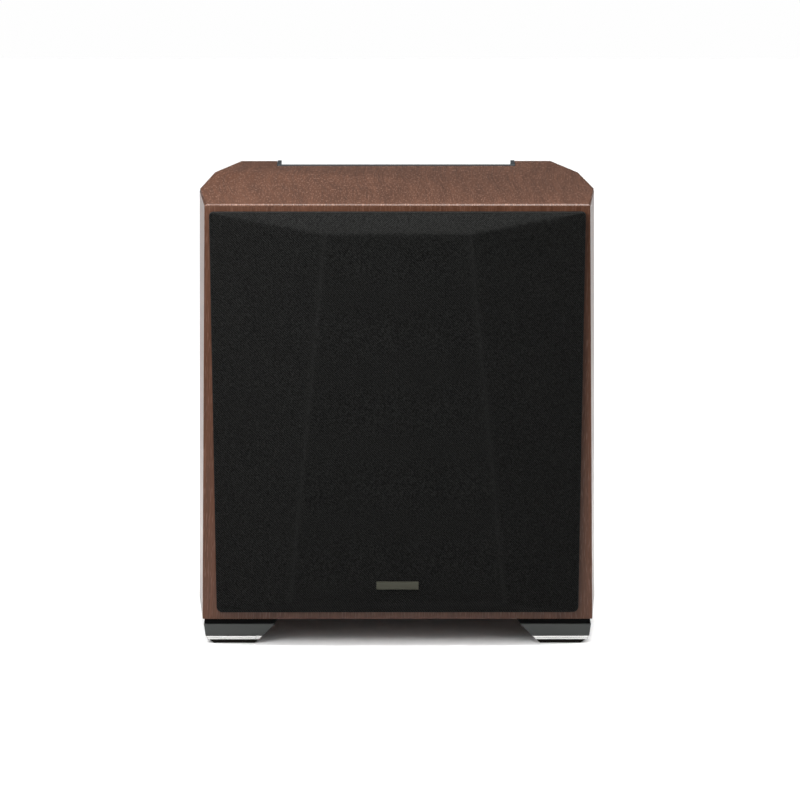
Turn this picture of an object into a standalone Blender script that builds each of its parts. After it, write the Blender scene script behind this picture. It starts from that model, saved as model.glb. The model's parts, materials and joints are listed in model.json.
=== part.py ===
"""Powered subwoofer: veneered box with faceted sides, one front driver, faceted cloth grille,
four sloped feet and an amplifier set into a channel down the back.

Metres, +Z up. The front faces -Y and +X is on the right of someone facing it.
The origin is on the floor, midway between the grille's front and the cabinet's back.
"Depth" below is a distance backwards from the face of the front baffle.
"""

import math

import bmesh
import bpy
from mathutils import Matrix, Vector

# The gap between touching pieces, how far joining shapes run into each other, and how far a cutter runs past
GAP = 0.0003
LAP = 0.001
CUT_PAST = 0.010
TINY_SIDES = 12
SMALL_SIDES = 24
ROUND_SIDES = 40
WIDE_SIDES = 64
SHARP_DEGREES = 40

# Cabinet. Its sides flare a little towards the floor as far back as the waist.
CABINET_DEPTH = 0.490
CABINET_FLOOR = 0.0295
CABINET_TOP = 0.5150
FRONT_HALF_TOP = 0.2229
FRONT_HALF_FLOOR = 0.2267
WAIST_HALF_TOP = 0.2320
WAIST_HALF_FLOOR = 0.2338
WAIST_DEPTH = 0.170
SHOULDER_HALF = 0.2181
SHOULDER_DEPTH = 0.354
TAIL_HALF = 0.1896
PANEL = 0.025
BAFFLE = 0.036
SIDE_WALL = 0.022
REAR_BOARD = 0.018
TOP_CHAMFER = 0.0018
INSIDE_FLOOR = CABINET_FLOOR + PANEL
INSIDE_TOP = CABINET_TOP - PANEL
AMP_OPENING_HALF = 0.105
AMP_OPENING_Z = (0.088, 0.470)
BRACE_DEPTH = 0.200
BRACE_THICK = 0.018
BRACE_HALF = 0.2055
BRACE_WINDOW_X = (0.018, 0.165)
BRACE_WINDOW_Z = (0.105, 0.437)

# Grille, with its cloth. The rim is the outline of its edge; the middle facet leans back at its foot.
GRILLE_FLOOR = 0.0388
GRILLE_TOP = 0.5070
GRILLE_HALF_FLOOR = 0.2106
GRILLE_HALF_TOP = 0.2179
GRILLE_CORNER_FLOOR = 0.0065
GRILLE_CORNER_TOP = 0.0045
GRILLE_RIM = 0.010
GRILLE_PROUD = 0.032
GRILLE_BACK = 0.002
FACET_FLOOR = 0.0531
FACET_TOP = 0.4843
FACET_HALF_FLOOR = 0.1245
FACET_HALF_TOP = 0.0835
CLOTH = 0.0010
GRILLE_SHELL = 0.0025
RAIL_WIDTH = 0.018
RAIL_THICK = 0.006
RAIL_INSET = 0.0004
CORNER_STEPS = 4
RIDGE_INSET_SHARE = 0.6
BADGE_SIZE = (0.0490, 0.0095)
BADGE_THICK = 0.0018
BADGE_Z = 0.0729
MAGNET_RADIUS = 0.006
MAGNET_THICK = 0.004
MAGNET_INSET = 0.011

FRONT_Y = (GRILLE_PROUD - CABINET_DEPTH) / 2

# Driver, measured backwards from the front of its flange
DRIVER_Z = 0.2715
FLANGE_DEPTH = 0.004
FLANGE_RADIUS = 0.1665
FLANGE_INNER = 0.1400
FLANGE_THICK = 0.006
BAFFLE_HOLE = 0.1500
SURROUND_ROLL = 0.0125
SURROUND_MIDDLE = 0.1415
SURROUND_THICK = 0.0013
SURROUND_OUTER = 0.1554
SURROUND_STEPS = 8
CONE_RIM = 0.1280
CONE_LIP = 0.1215
CONE_NECK = 0.0388
CONE_DEPTH = 0.052
CONE_STEPS = 5
CONE_THICK = 0.0014
CONE_BOW = 0.15
CAP_RADIUS = 0.060
CAP_HEIGHT = 0.017
CAP_THICK = 0.0010
CAP_STEPS = 5
FORMER_OUTER = 0.0385
FORMER_INNER = 0.0375
FORMER_LAP = 0.004
COIL_OUTER = 0.0397
COIL_START = 0.090
COIL_END = 0.118
SPIDER_DEPTH = 0.073
SPIDER_OUTER = 0.0840
SPIDER_WAVE = 0.0025
SPIDER_WAVES = 4
SPIDER_THICK = 0.0009
SHELF_INNER = 0.0770
SHELF_OUTER = 0.0900
SHELF_DEPTH = 0.0765
WEB_INNER = 0.0500
WEB_THICK = 0.005
PLATE_DEPTH = 0.096
PLATE_THICK = 0.010
PLATE_INNER = 0.0405
PLATE_OUTER = 0.0780
RING_MAGNET_INNER = 0.0500
RING_MAGNET_OUTER = 0.0850
RING_MAGNET_THICK = 0.030
BACK_PLATE_THICK = 0.010
POLE_RADIUS = 0.0365
POLE_VENT = 0.0150
SPOKES = 6
SPOKE_WIDTH = 0.016
SPOKE_THICK = 0.007
SPOKE_LAP = 0.004
SCREW_CIRCLE = 0.1610
SCREW_COUNT = 6
SCREW_HOLE = 0.0026
PILOT_END = 0.031
HEAD_PROFILE = [(0.0, -0.0032), (0.0026, -0.0032), (0.0042, -0.0022), (0.0046, -GAP)]
SHANK_PROFILE = [(0.0020, -GAP), (0.0020, 0.018), (0.0, 0.0195)]
TERMINAL_DEPTH = 0.055
TERMINAL_DROP = 0.108
TERMINAL_WIDTH = 0.030
TERMINAL_THICK = 0.012
BLADE_OFFSETS = (0.005, 0.019)
BLADE_DROP = 0.0062
BLADE_SIZE = (0.0063, 0.010, 0.0008)

# Amplifier channel, measured as cabinet depths
CHANNEL_HALF = 0.1442
CHANNEL_DEPTH = 0.430
CHANNEL_WALL = 0.005
CHANNEL_PROUD = 0.0018
CHANNEL_SETBACK = 0.006
CHANNEL_WINDOW_HALF = 0.100
CHANNEL_WINDOW_Z = (0.097, 0.250)
CONNECTION_HALF = 0.115
CONNECTION_FLOOR = 0.085
CONNECTION_TOP = 0.262
CONNECTION_THICK = 0.003
SINK_HALF = 0.115
SINK_FLOOR = 0.285
SINK_TOP = 0.478
SINK_BASE = 0.005
SINK_FINS = 13
FIN_THICK = 0.0025
FIN_LENGTH = 0.035
PLATE_FACE = CHANNEL_DEPTH + GAP + CHANNEL_WALL + GAP + CONNECTION_THICK

# Controls and sockets on the connection plate. Halves are half sizes in (x, z); offsets are from a centre.
CONTROL_Z = 0.222
LEVEL_X = 0.008
CROSSOVER_X = -0.027
KNOB_RADIUS = 0.0095
KNOB_START = 0.001
KNOB_LENGTH = 0.014
KNOB_CHAMFER = (0.0022, 0.0008, 0.0012)
POINTER_WIDTH = 0.0012
POINTER_DEPTH = 0.001
SHAFT_RADIUS = 0.003
SHAFT_END = -0.016
SHAFT_CLEARANCE = 0.0006

INLET_X = -0.060
INLET_Z = 0.150
INLET_HALVES = (0.0187, 0.0397)
INLET_LIP = 0.0048
INLET_LIP_THICK = 0.003
INLET_START = 0.408
SOCKET_Z = INLET_Z - 0.004
SOCKET_HALVES = (0.0120, 0.0082)
SOCKET_CUT = 0.004
SOCKET_START = 0.4225
PIN_OFFSETS = ((-0.007, -0.002), (0.007, -0.002), (0.0, 0.003))
PIN_HALVES = (0.001, 0.002)
PIN_DEPTHS = (0.4200, 0.4390)
FUSE_Z = INLET_Z - 0.0265
FUSE_HALVES = (0.0111, 0.0046)
FUSE_START = 0.4180
FUSE_WELL_START = 0.4160
FUSE_PROUD = 0.0050
FUSE_CLEARANCE = 0.0004
FINGER_LIP = (0.0060, 0.0022, 0.0025)
ROCKER_Z = INLET_Z + 0.0230
ROCKER_HALVES = (0.0098, 0.0080)
ROCKER_WELL_HALVES = (0.0108, 0.0100)
ROCKER_WELL_START = 0.4290
ROCKER_TILT = math.radians(8)
ROCKER_AXIS_PROUD = 0.0005
ROCKER_FRONT = 0.0048
ROCKER_VALLEY = 0.0036
ROCKER_BACK = -0.0045
ROCKER_TAPER = 0.7

MODE_X = -0.066
MODE_TRAVEL = 0.006
MODE_SLOT_HALVES = (0.0070, 0.0024)
NUB_HALVES = (0.0020, 0.0018)
NUB_START = 0.434
NUB_PROUD = 0.003
CARRIAGE_HALVES = (0.0050, 0.0040)
CARRIAGE_THICK = 0.002

BALANCED_X = 0.046
BALANCED_RADIUS = 0.0119
BALANCED_DEPTH = 0.022
BALANCED_FLANGE_HALVES = (0.013, 0.017)
BALANCED_FLANGE_RISE = 0.0015
BALANCED_FLANGE_THICK = 0.002
PLUG_RING = (0.0066, 0.0098)
PLUG_DEPTH = 0.014
CONTACTS = 3
CONTACT_CIRCLE = 0.0038
CONTACT_RADIUS = 0.0013
CONTACT_DEPTH = 0.012
LATCH_Z = CONTROL_Z + 0.01325
LATCH_HALVES = (0.0032, 0.0020)
LATCH_DEPTHS = (-0.006, 0.005)
LATCH_SLOT_DEPTH = 0.010

LINE_X = 0.081
LINE_HALVES = (0.0080, 0.0180)
LINE_LIP = 0.0025
LINE_LIP_THICK = 0.002
LINE_START = 0.4200
PHONO_OFFSET = 0.009
PHONO_RADIUS = 0.0041
PHONO_LENGTH = 0.0115
PHONO_BORE = 0.0016

# Amplifier parts inside the cabinet
BOARD_DEPTH = 0.3850
BOARD_THICK = 0.0018
BOARD_HALF = 0.104
BOARD_Z = (0.094, 0.254)
POST_INSET = (0.0016, 0.006)
POST_RADIUS = 0.0024
TOROID_Z = 0.380
TOROID_INNER = 0.016
TOROID_OUTER = 0.052
TOROID_THICK = 0.044
TOROID_CORNER = 0.006
CAPACITOR_X = -0.055
CAPACITOR_Z = 0.200
CAPACITOR_RADIUS = 0.0175
CAPACITOR_LENGTH = 0.045
LEAD_RADIUS = 0.0022
LEAD_STEPS = 5
LEAD_SPOTS = [
    (0.075, 0.3845, 0.150),
    (0.078, 0.3500, 0.146),
    (0.110, 0.3000, 0.120),
    (0.150, 0.2400, 0.120),
    (0.155, 0.1900, 0.125),
    (0.110, 0.1300, 0.140),
    (0.042, 0.1000, 0.152),
    (0.024, 0.0820, 0.157),
]

# Feet. Each level is (outer x, inner x, height, inset all round), from the cabinet down to the floor.
FOOT_LENGTH = 0.075
FRONT_FOOT_SETBACK = 0.004
REAR_FOOT_SETBACK = 0.345
REAR_FOOT_SHIFT = -0.027
PAD_TOP = 0.0041
TRIM_TOP = 0.0090
BRACKET_TOP = 0.0230
NECK_INSET = 0.0010
BRACKET_LEVELS = [
    (0.2258, 0.1375, CABINET_FLOOR - GAP, NECK_INSET),
    (0.2258, 0.1423, BRACKET_TOP, NECK_INSET),
    (0.2258, 0.1423, BRACKET_TOP, 0.0),
    (0.2238, 0.1568, TRIM_TOP + GAP, 0.0),
]
TRIM_LEVELS = [(0.2238, 0.1572, TRIM_TOP, 0.0), (0.2218, 0.1613, PAD_TOP + GAP, 0.0)]
PAD_LEVELS = [(0.2200, 0.1612, PAD_TOP, 0.0010), (0.2160, 0.1640, 0.0, 0.0025)]
FOOT_CORNERS = (("front", "left"), ("front", "right"), ("rear", "left"), ("rear", "right"))


def clear_scene():
    for item in list(bpy.data.objects):
        bpy.data.objects.remove(item, do_unlink=True)


def finish_material(name, colour, roughness, metallic=0.0):
    made = bpy.data.materials.new(name)
    made.use_nodes = True
    shader = made.node_tree.nodes["Principled BSDF"]
    shader.inputs["Base Color"].default_value = (*colour, 1.0)
    shader.inputs["Roughness"].default_value = roughness
    shader.inputs["Metallic"].default_value = metallic
    made.diffuse_color = (*colour, 1.0)
    return made


FINISHES = {
    "veneer": ((0.150, 0.068, 0.045), 0.35, 0.0),
    "board": ((0.42, 0.30, 0.19), 0.70, 0.0),
    "cloth": ((0.012, 0.012, 0.012), 0.90, 0.0),
    "grille_plastic": ((0.02, 0.02, 0.02), 0.60, 0.0),
    "badge_metal": ((0.09, 0.09, 0.07), 0.35, 1.0),
    "magnet": ((0.35, 0.35, 0.36), 0.35, 1.0),
    "cast_metal": ((0.05, 0.05, 0.055), 0.55, 1.0),
    "ferrite": ((0.04, 0.04, 0.042), 0.70, 0.0),
    "steel": ((0.45, 0.46, 0.47), 0.35, 1.0),
    "cone_metal": ((0.06, 0.06, 0.065), 0.35, 1.0),
    "rubber": ((0.02, 0.02, 0.018), 0.85, 0.0),
    "resin_cloth": ((0.30, 0.19, 0.08), 0.90, 0.0),
    "copper": ((0.60, 0.26, 0.13), 0.35, 1.0),
    "slate_metal": ((0.065, 0.078, 0.088), 0.45, 1.0),
    "black_plastic": ((0.015, 0.015, 0.016), 0.45, 0.0),
    "board_green": ((0.02, 0.12, 0.05), 0.50, 0.0),
    "foot_grey": ((0.060, 0.064, 0.060), 0.40, 1.0),
    "bright_trim": ((0.72, 0.72, 0.72), 0.18, 1.0),
}


def on_plan(x, depth, z):
    """A point from its x, its depth behind the baffle's face, and its height."""
    return Vector((x, FRONT_Y + depth, z))


def put(name, shape, finish, origin=(0.0, 0.0, 0.0), parent=None):
    """Makes a named object of a bmesh in world coordinates, with its own origin and material."""
    bmesh.ops.recalc_face_normals(shape, faces=shape.faces)
    anchor = Vector(origin)
    bmesh.ops.translate(shape, verts=shape.verts, vec=-anchor)
    mesh = bpy.data.meshes.new(name)
    shape.to_mesh(mesh)
    shape.free()
    mesh.materials.append(finish_material(name, *FINISHES[finish]))
    made = bpy.data.objects.new(name, mesh)
    bpy.context.collection.objects.link(made)
    made.location = anchor
    if parent is not None:
        made.parent = parent
        made.location = anchor - parent.location
    return made


def pivot(name, location):
    """An empty on a joint's axis, which carries what moves with it."""
    made = bpy.data.objects.new(name, None)
    bpy.context.collection.objects.link(made)
    made.location = location
    return made


def combine(target, shape, operation):
    """Adds or cuts a bmesh, which becomes a hidden tool object."""
    bmesh.ops.recalc_face_normals(shape, faces=shape.faces)
    mesh = bpy.data.meshes.new(target.name + "_tool")
    shape.to_mesh(mesh)
    shape.free()
    tool = bpy.data.objects.new(mesh.name, mesh)
    bpy.context.collection.objects.link(tool)
    tool.hide_render = True
    tool.display_type = "WIRE"
    step = target.modifiers.new(operation.title(), "BOOLEAN")
    step.operation = operation
    step.solver = "EXACT"
    step.object = tool


def round_off(made):
    """Smooth shading with sharp edges kept, for turned pieces."""
    made.data.shade_smooth()
    made.data.set_sharp_from_angle(angle=math.radians(SHARP_DEGREES))
    return made


def prism(outline, low, high, axis):
    """A closed outline of (u, v) points, extruded along axis from low to high."""
    place = {
        "X": lambda u, v, w: (w, u, v),
        "Y": lambda u, v, w: (u, w, v),
        "Z": lambda u, v, w: (u, v, w),
    }[axis]
    shape = bmesh.new()
    face = shape.faces.new([shape.verts.new(place(u, v, low)) for u, v in outline])
    grown = bmesh.ops.extrude_face_region(shape, geom=[face])["geom"]
    moved = [item for item in grown if isinstance(item, bmesh.types.BMVert)]
    bmesh.ops.translate(shape, verts=moved, vec=place(0.0, 0.0, high - low))
    return shape


def box(low, high):
    outline = rectangle(low[0], high[0], low[1], high[1])
    return prism(outline, low[2], high[2], "Z")


def depth_box(x, depth, z):
    """A box from its (low, high) in x, depth and height."""
    return box(on_plan(x[0], depth[0], z[0]), on_plan(x[1], depth[1], z[1]))


def upright_box(x, z, halves, depth, extra=0.0):
    """A box of a (low, high) depth about a centre in x and z, with its half sizes grown by extra."""
    half_x, half_z = halves[0] + extra, halves[1] + extra
    return depth_box((x - half_x, x + half_x), depth, (z - half_z, z + half_z))


def rectangle(u0, u1, v0, v1):
    return [(u0, v0), (u1, v0), (u1, v1), (u0, v1)]


def loft(rings):
    """A closed body through rings of equally many points, capped at both ends."""
    shape = bmesh.new()
    rows = [[shape.verts.new(point) for point in ring] for ring in rings]
    shape.faces.new(rows[0])
    shape.faces.new(rows[-1])
    for low, high in zip(rows, rows[1:]):
        for i, _ in enumerate(low):
            after = (i + 1) % len(low)
            shape.faces.new((low[i], low[after], high[after], high[i]))
    return shape


def turned(profile, centre, sides=ROUND_SIDES, axis=(0.0, 1.0, 0.0)):
    """Spins (radius, distance along axis) points about an axis through centre.

    A profile that starts and ends on the axis stays open there; any other is closed.
    """
    along = Vector(axis)
    across = Vector((0.0, 0.0, 1.0)) if abs(along.z) < 0.5 else Vector((1.0, 0.0, 0.0))
    shape = bmesh.new()
    points = [shape.verts.new(centre + across * r + along * h) for r, h in profile]
    on_axis = profile[0][0] == 0.0 and profile[-1][0] == 0.0
    edges = [shape.edges.new(pair) for pair in zip(points, points[1:])]
    if not on_axis:
        edges.append(shape.edges.new((points[-1], points[0])))
    profile_geometry = points + edges
    full_turn = 2 * math.pi
    bmesh.ops.spin(
        shape, geom=profile_geometry, cent=centre, axis=along, angle=full_turn, steps=sides, use_merge=True
    )
    bmesh.ops.remove_doubles(shape, verts=shape.verts, dist=0.000001)
    return shape


def disc(radius, start, end):
    """Profile of a solid disc from start to end along its axis."""
    return [(0.0, start), (radius, start), (radius, end), (0.0, end)]


def ring(inner, outer, start, end):
    return [(inner, start), (outer, start), (outer, end), (inner, end)]


def merge(*shapes):
    """Several closed bodies in one bmesh, for a tool that cuts or adds them all."""
    whole = shapes[0]
    for extra in shapes[1:]:
        mesh = bpy.data.meshes.new("scratch")
        extra.to_mesh(mesh)
        extra.free()
        whole.from_mesh(mesh)
        bpy.data.meshes.remove(mesh)
    return whole


def flared(top, floor, z):
    """A half width that changes evenly between the cabinet's top and its floor."""
    share = (z - CABINET_FLOOR) / (CABINET_TOP - CABINET_FLOOR)
    return floor + (top - floor) * share


def half_width(depth, z):
    """The cabinet's outer half width at a depth and a height."""
    stations = [
        (0.0, flared(FRONT_HALF_TOP, FRONT_HALF_FLOOR, z)),
        (WAIST_DEPTH, flared(WAIST_HALF_TOP, WAIST_HALF_FLOOR, z)),
        (SHOULDER_DEPTH, SHOULDER_HALF),
        (CABINET_DEPTH, TAIL_HALF),
    ]
    for (d0, w0), (d1, w1) in zip(stations, stations[1:]):
        if depth <= d1:
            return w0 + (w1 - w0) * (depth - d0) / (d1 - d0)
    return TAIL_HALF


def notched_outline(z):
    """Plan of the top and bottom panels: faceted sides and the channel's notch behind."""
    notch = CHANNEL_HALF + GAP
    depths = (0.0, WAIST_DEPTH, SHOULDER_DEPTH, CABINET_DEPTH)
    right = [(half_width(depth, z), depth) for depth in depths]
    right += [(notch, CABINET_DEPTH), (notch, CHANNEL_DEPTH)]
    left = [(-x, depth) for x, depth in reversed(right)]
    return [on_plan(x, depth, z) for x, depth in right + left]


def make_end_panel(name, low, high, chamfered):
    shape = loft([notched_outline(low), notched_outline(high)])
    if chamfered:
        front_and_sides = [
            edge
            for edge in shape.edges
            if all(abs(v.co.z - high) < GAP for v in edge.verts) and not in_notch(edge)
        ]
        bmesh.ops.bevel(shape, geom=front_and_sides, offset=TOP_CHAMFER, segments=1, affect="EDGES")
    put(name, shape, "veneer")


def in_notch(edge):
    """Whether an edge of the top panel borders the channel's notch."""
    limit = CHANNEL_HALF + 2 * GAP
    return all(abs(v.co.x) < limit and v.co.y > FRONT_Y + WAIST_DEPTH for v in edge.verts)


def make_side_panel(name, side):
    first = BAFFLE + GAP

    def outline(z):
        depths = (first, WAIST_DEPTH, SHOULDER_DEPTH, CABINET_DEPTH)
        outer = [(half_width(depth, z), depth) for depth in depths]
        inner = [(x - SIDE_WALL, depth) for x, depth in reversed(outer)]
        return [on_plan(side * x, depth, z) for x, depth in outer + inner]

    put(name, loft([outline(INSIDE_FLOOR + GAP), outline(INSIDE_TOP - GAP)]), "veneer")


def make_rear_post(name, side):
    start = CHANNEL_DEPTH - REAR_BOARD
    inside = CHANNEL_HALF + GAP

    def beside_wall(depth):
        return half_width(depth, INSIDE_FLOOR) - SIDE_WALL - GAP

    plan = [
        (inside, start),
        (beside_wall(start), start),
        (beside_wall(CABINET_DEPTH), CABINET_DEPTH),
        (inside, CABINET_DEPTH),
    ]
    outline = [(side * x, FRONT_Y + depth) for x, depth in plan]
    put(name, prism(outline, INSIDE_FLOOR + GAP, INSIDE_TOP - GAP, "Z"), "veneer")


def make_front_baffle():
    def outline(z):
        corners = [(half_width(BAFFLE, z), BAFFLE), (half_width(0.0, z), 0.0)]
        mirrored = [(-x, depth) for x, depth in reversed(corners)]
        return [on_plan(x, depth, z) for x, depth in corners + mirrored]

    baffle = put("front_baffle", loft([outline(INSIDE_FLOOR + GAP), outline(INSIDE_TOP - GAP)]), "veneer")
    centre = on_plan(0.0, 0.0, DRIVER_Z)
    rebate = FLANGE_DEPTH + FLANGE_THICK + GAP
    through = BAFFLE + CUT_PAST
    profile = [
        (0.0, -CUT_PAST),
        (FLANGE_RADIUS + GAP, -CUT_PAST),
        (FLANGE_RADIUS + GAP, rebate),
        (BAFFLE_HOLE, rebate),
        (BAFFLE_HOLE, through),
        (0.0, through),
    ]
    combine(baffle, turned(profile, centre, WIDE_SIDES), "DIFFERENCE")
    pilot = disc(SCREW_HOLE, rebate - LAP, PILOT_END)
    pilots = [turned(pilot, centre + offset, TINY_SIDES) for offset in around(SCREW_CIRCLE)]
    combine(baffle, merge(*pilots), "DIFFERENCE")


def around(radius, count=SCREW_COUNT, first=math.pi / 2 + math.pi / SCREW_COUNT):
    """Offsets in the baffle's plane, evenly spaced on a circle."""
    turns = [first + 2 * math.pi * i / count for i in range(count)]
    return [Vector((radius * math.cos(turn), 0.0, radius * math.sin(turn))) for turn in turns]


def make_rear_board():
    depth = (CHANNEL_DEPTH - REAR_BOARD, CHANNEL_DEPTH)
    height = (INSIDE_FLOOR + GAP, INSIDE_TOP - GAP)
    board = put("rear_board", depth_box((-CHANNEL_HALF, CHANNEL_HALF), depth, height), "board")
    past = (depth[0] - CUT_PAST, depth[1] + CUT_PAST)
    combine(board, depth_box((-AMP_OPENING_HALF, AMP_OPENING_HALF), past, AMP_OPENING_Z), "DIFFERENCE")


def make_window_brace():
    depth = (BRACE_DEPTH, BRACE_DEPTH + BRACE_THICK)
    height = (INSIDE_FLOOR + GAP, INSIDE_TOP - GAP)
    brace = put("window_brace", depth_box((-BRACE_HALF, BRACE_HALF), depth, height), "board")
    past = (depth[0] - CUT_PAST, depth[1] + CUT_PAST)
    near, far = BRACE_WINDOW_X
    windows = [depth_box(span, past, BRACE_WINDOW_Z) for span in ((-far, -near), (near, far))]
    combine(brace, merge(*windows), "DIFFERENCE")


def make_cabinet():
    make_end_panel("top_panel", INSIDE_TOP, CABINET_TOP, True)
    make_end_panel("bottom_panel", CABINET_FLOOR, INSIDE_FLOOR, False)
    for name, side in (("left", -1), ("right", 1)):
        make_side_panel("side_panel_" + name, side)
        make_rear_post("rear_post_" + name, side)
    make_front_baffle()
    make_rear_board()
    make_window_brace()


def grille_outline(inset):
    """The rim's outline as four rounded corners, each a list of (x, z), set in from the cloth's face."""
    corners = [
        (GRILLE_HALF_TOP, GRILLE_TOP, GRILLE_CORNER_TOP, 0.0),
        (-GRILLE_HALF_TOP, GRILLE_TOP, GRILLE_CORNER_TOP, 90.0),
        (-GRILLE_HALF_FLOOR, GRILLE_FLOOR, GRILLE_CORNER_FLOOR, 180.0),
        (GRILLE_HALF_FLOOR, GRILLE_FLOOR, GRILLE_CORNER_FLOOR, 270.0),
    ]
    rounded = []
    for x, z, radius, first in corners:
        centre_x = x - math.copysign(radius, x)
        centre_z = z - math.copysign(radius, z - DRIVER_Z)
        turns = [math.radians(first + 90.0 * i / CORNER_STEPS) for i in range(CORNER_STEPS + 1)]
        reach = radius - inset
        rounded.append([(centre_x + reach * math.cos(t), centre_z + reach * math.sin(t)) for t in turns])
    return rounded


def facet_foot_proud():
    """How far the middle facet's foot stands out, so that the side facets are flat."""
    rim_top = Vector((GRILLE_HALF_TOP, GRILLE_TOP, GRILLE_RIM))
    rim_floor = Vector((GRILLE_HALF_FLOOR, GRILLE_FLOOR, GRILLE_RIM))
    ridge_top = Vector((FACET_HALF_TOP, FACET_TOP, GRILLE_PROUD))
    normal = (rim_floor - rim_top).cross(ridge_top - rim_top)
    offset = Vector((FACET_HALF_FLOOR, FACET_FLOOR, 0.0)) - rim_top
    return -offset.dot(normal) / normal.z


def facet_proud(z):
    """How far the middle facet stands out of the baffle at a height."""
    share = (z - FACET_FLOOR) / (FACET_TOP - FACET_FLOOR)
    foot = facet_foot_proud()
    return foot + (GRILLE_PROUD - foot) * share


def gem(inset, back):
    """The grille's faceted outer skin, set in by inset: side wall, four facets and the middle one.

    back is how far in front of the baffle the side wall ends.
    """
    shape = bmesh.new()
    in_plane = inset * RIDGE_INSET_SHARE
    top, floor = FACET_TOP - in_plane, FACET_FLOOR + in_plane
    half_top, half_floor = FACET_HALF_TOP - in_plane, FACET_HALF_FLOOR - in_plane
    ridge = [(half_top, top), (-half_top, top), (-half_floor, floor), (half_floor, floor)]
    middle = [shape.verts.new(on_plan(x, inset - facet_proud(z), z)) for x, z in ridge]
    corners = grille_outline(inset)
    rim = [[shape.verts.new(on_plan(x, inset - GRILLE_RIM, z)) for x, z in arc] for arc in corners]
    foot = [shape.verts.new(on_plan(x, -back, z)) for arc in corners for x, z in arc]
    shape.faces.new(middle)
    for i, arc in enumerate(rim):
        after = (i + 1) % len(rim)
        shape.faces.new((arc[-1], rim[after][0], middle[after], middle[i]))
        for a, b in zip(arc, arc[1:]):
            shape.faces.new((a, b, middle[i]))
    edge = [vertex for arc in rim for vertex in arc]
    for i, _ in enumerate(edge):
        after = (i + 1) % len(edge)
        shape.faces.new((foot[i], foot[after], edge[after], edge[i]))
    return shape


def thicken(made, thickness):
    """Solidify inwards from the modelled skin."""
    step = made.modifiers.new("Thickness", "SOLIDIFY")
    step.thickness = thickness
    step.offset = -1.0
    step.use_even_offset = True


def make_grille():
    pull = pivot("grille_pull", on_plan(0.0, 0.0, DRIVER_Z))
    cloth = put("grille_cloth", gem(0.0, 2 * GAP), "cloth", pull.location, pull)
    thicken(cloth, CLOTH)
    frame = put("grille_frame", gem(CLOTH + GAP, GRILLE_BACK), "grille_plastic", pull.location, pull)
    thicken(frame, GRILLE_SHELL)
    add_rail(frame)
    cut_magnet_pockets(frame, pull)
    make_badge(pull)


def add_rail(frame):
    """A flat rail round the back of the grille's shell, open in the middle."""
    outline = [point for arc in grille_outline(CLOTH + GAP + RAIL_INSET) for point in arc]
    low, high = FRONT_Y - GRILLE_BACK - RAIL_THICK, FRONT_Y - GRILLE_BACK
    combine(frame, prism(outline, low, high, "Y"), "UNION")
    middle_z = (GRILLE_TOP + GRILLE_FLOOR) / 2
    share_x = 1 - RAIL_WIDTH / GRILLE_HALF_FLOOR
    share_z = 1 - RAIL_WIDTH / (GRILLE_TOP - middle_z)
    opening = [(x * share_x, middle_z + (z - middle_z) * share_z) for x, z in outline]
    combine(frame, prism(opening, low - GAP, high + CUT_PAST, "Y"), "DIFFERENCE")


def cut_magnet_pockets(frame, pull):
    pockets = []
    for row, z in (("lower", GRILLE_FLOOR + MAGNET_INSET), ("upper", GRILLE_TOP - MAGNET_INSET)):
        for name, side in (("left", -1), ("right", 1)):
            centre = on_plan(side * (GRILLE_HALF_FLOOR - MAGNET_INSET), -GRILLE_BACK, z)
            magnet = turned(disc(MAGNET_RADIUS, -MAGNET_THICK, 0.0), centre, SMALL_SIDES)
            round_off(put(f"grille_magnet_{row}_{name}", magnet, "magnet", centre, pull))
            pocket = disc(MAGNET_RADIUS + GAP, -MAGNET_THICK - GAP, CUT_PAST)
            pockets.append(turned(pocket, centre, SMALL_SIDES))
    combine(frame, merge(*pockets), "DIFFERENCE")


def make_badge(pull):
    """A plain plate on the foot of the middle facet, leaning back with it."""
    lean = math.atan2(GRILLE_PROUD - facet_foot_proud(), FACET_TOP - FACET_FLOOR)
    width, height = BADGE_SIZE
    centre = on_plan(0.0, -facet_proud(BADGE_Z) - GAP, BADGE_Z)
    plate = box((-width / 2, -BADGE_THICK, -height / 2), (width / 2, 0.0, height / 2))
    pose = Matrix.Translation(centre) @ Matrix.Rotation(lean, 4, "X")
    bmesh.ops.transform(plate, matrix=pose, verts=plate.verts)
    put("badge", plate, "badge_metal", centre, pull)


def driver_point(depth):
    """A point on the driver's axis, measured backwards from the front of its flange."""
    return on_plan(0.0, FLANGE_DEPTH + depth, DRIVER_Z)


def put_turned(name, profile, finish, parent=None, sides=ROUND_SIDES):
    centre = driver_point(0.0)
    made = put(name, turned(profile, centre, sides), finish, centre, parent)
    return round_off(made)


def make_basket():
    """Cast basket: flange, shelf with a web for the motor, and the spokes between them."""
    basket = put_turned("basket", ring(FLANGE_INNER, FLANGE_RADIUS, 0.0, FLANGE_THICK), "cast_metal")
    shelf = [
        (SHELF_INNER, SHELF_DEPTH),
        (SHELF_OUTER, SHELF_DEPTH),
        (SHELF_OUTER, PLATE_DEPTH - GAP),
        (WEB_INNER, PLATE_DEPTH - GAP),
        (WEB_INNER, PLATE_DEPTH - WEB_THICK),
        (SHELF_INNER, PLATE_DEPTH - WEB_THICK),
    ]
    combine(basket, turned(shelf, driver_point(0.0)), "UNION")
    combine(basket, merge(*[make_spoke(offset) for offset in around(1.0, SPOKES, -math.pi / 2)]), "UNION")
    hole = disc(SCREW_HOLE, -CUT_PAST, FLANGE_THICK + CUT_PAST)
    holes = [turned(hole, driver_point(0.0) + offset, TINY_SIDES) for offset in around(SCREW_CIRCLE)]
    combine(basket, merge(*holes), "DIFFERENCE")


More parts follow.
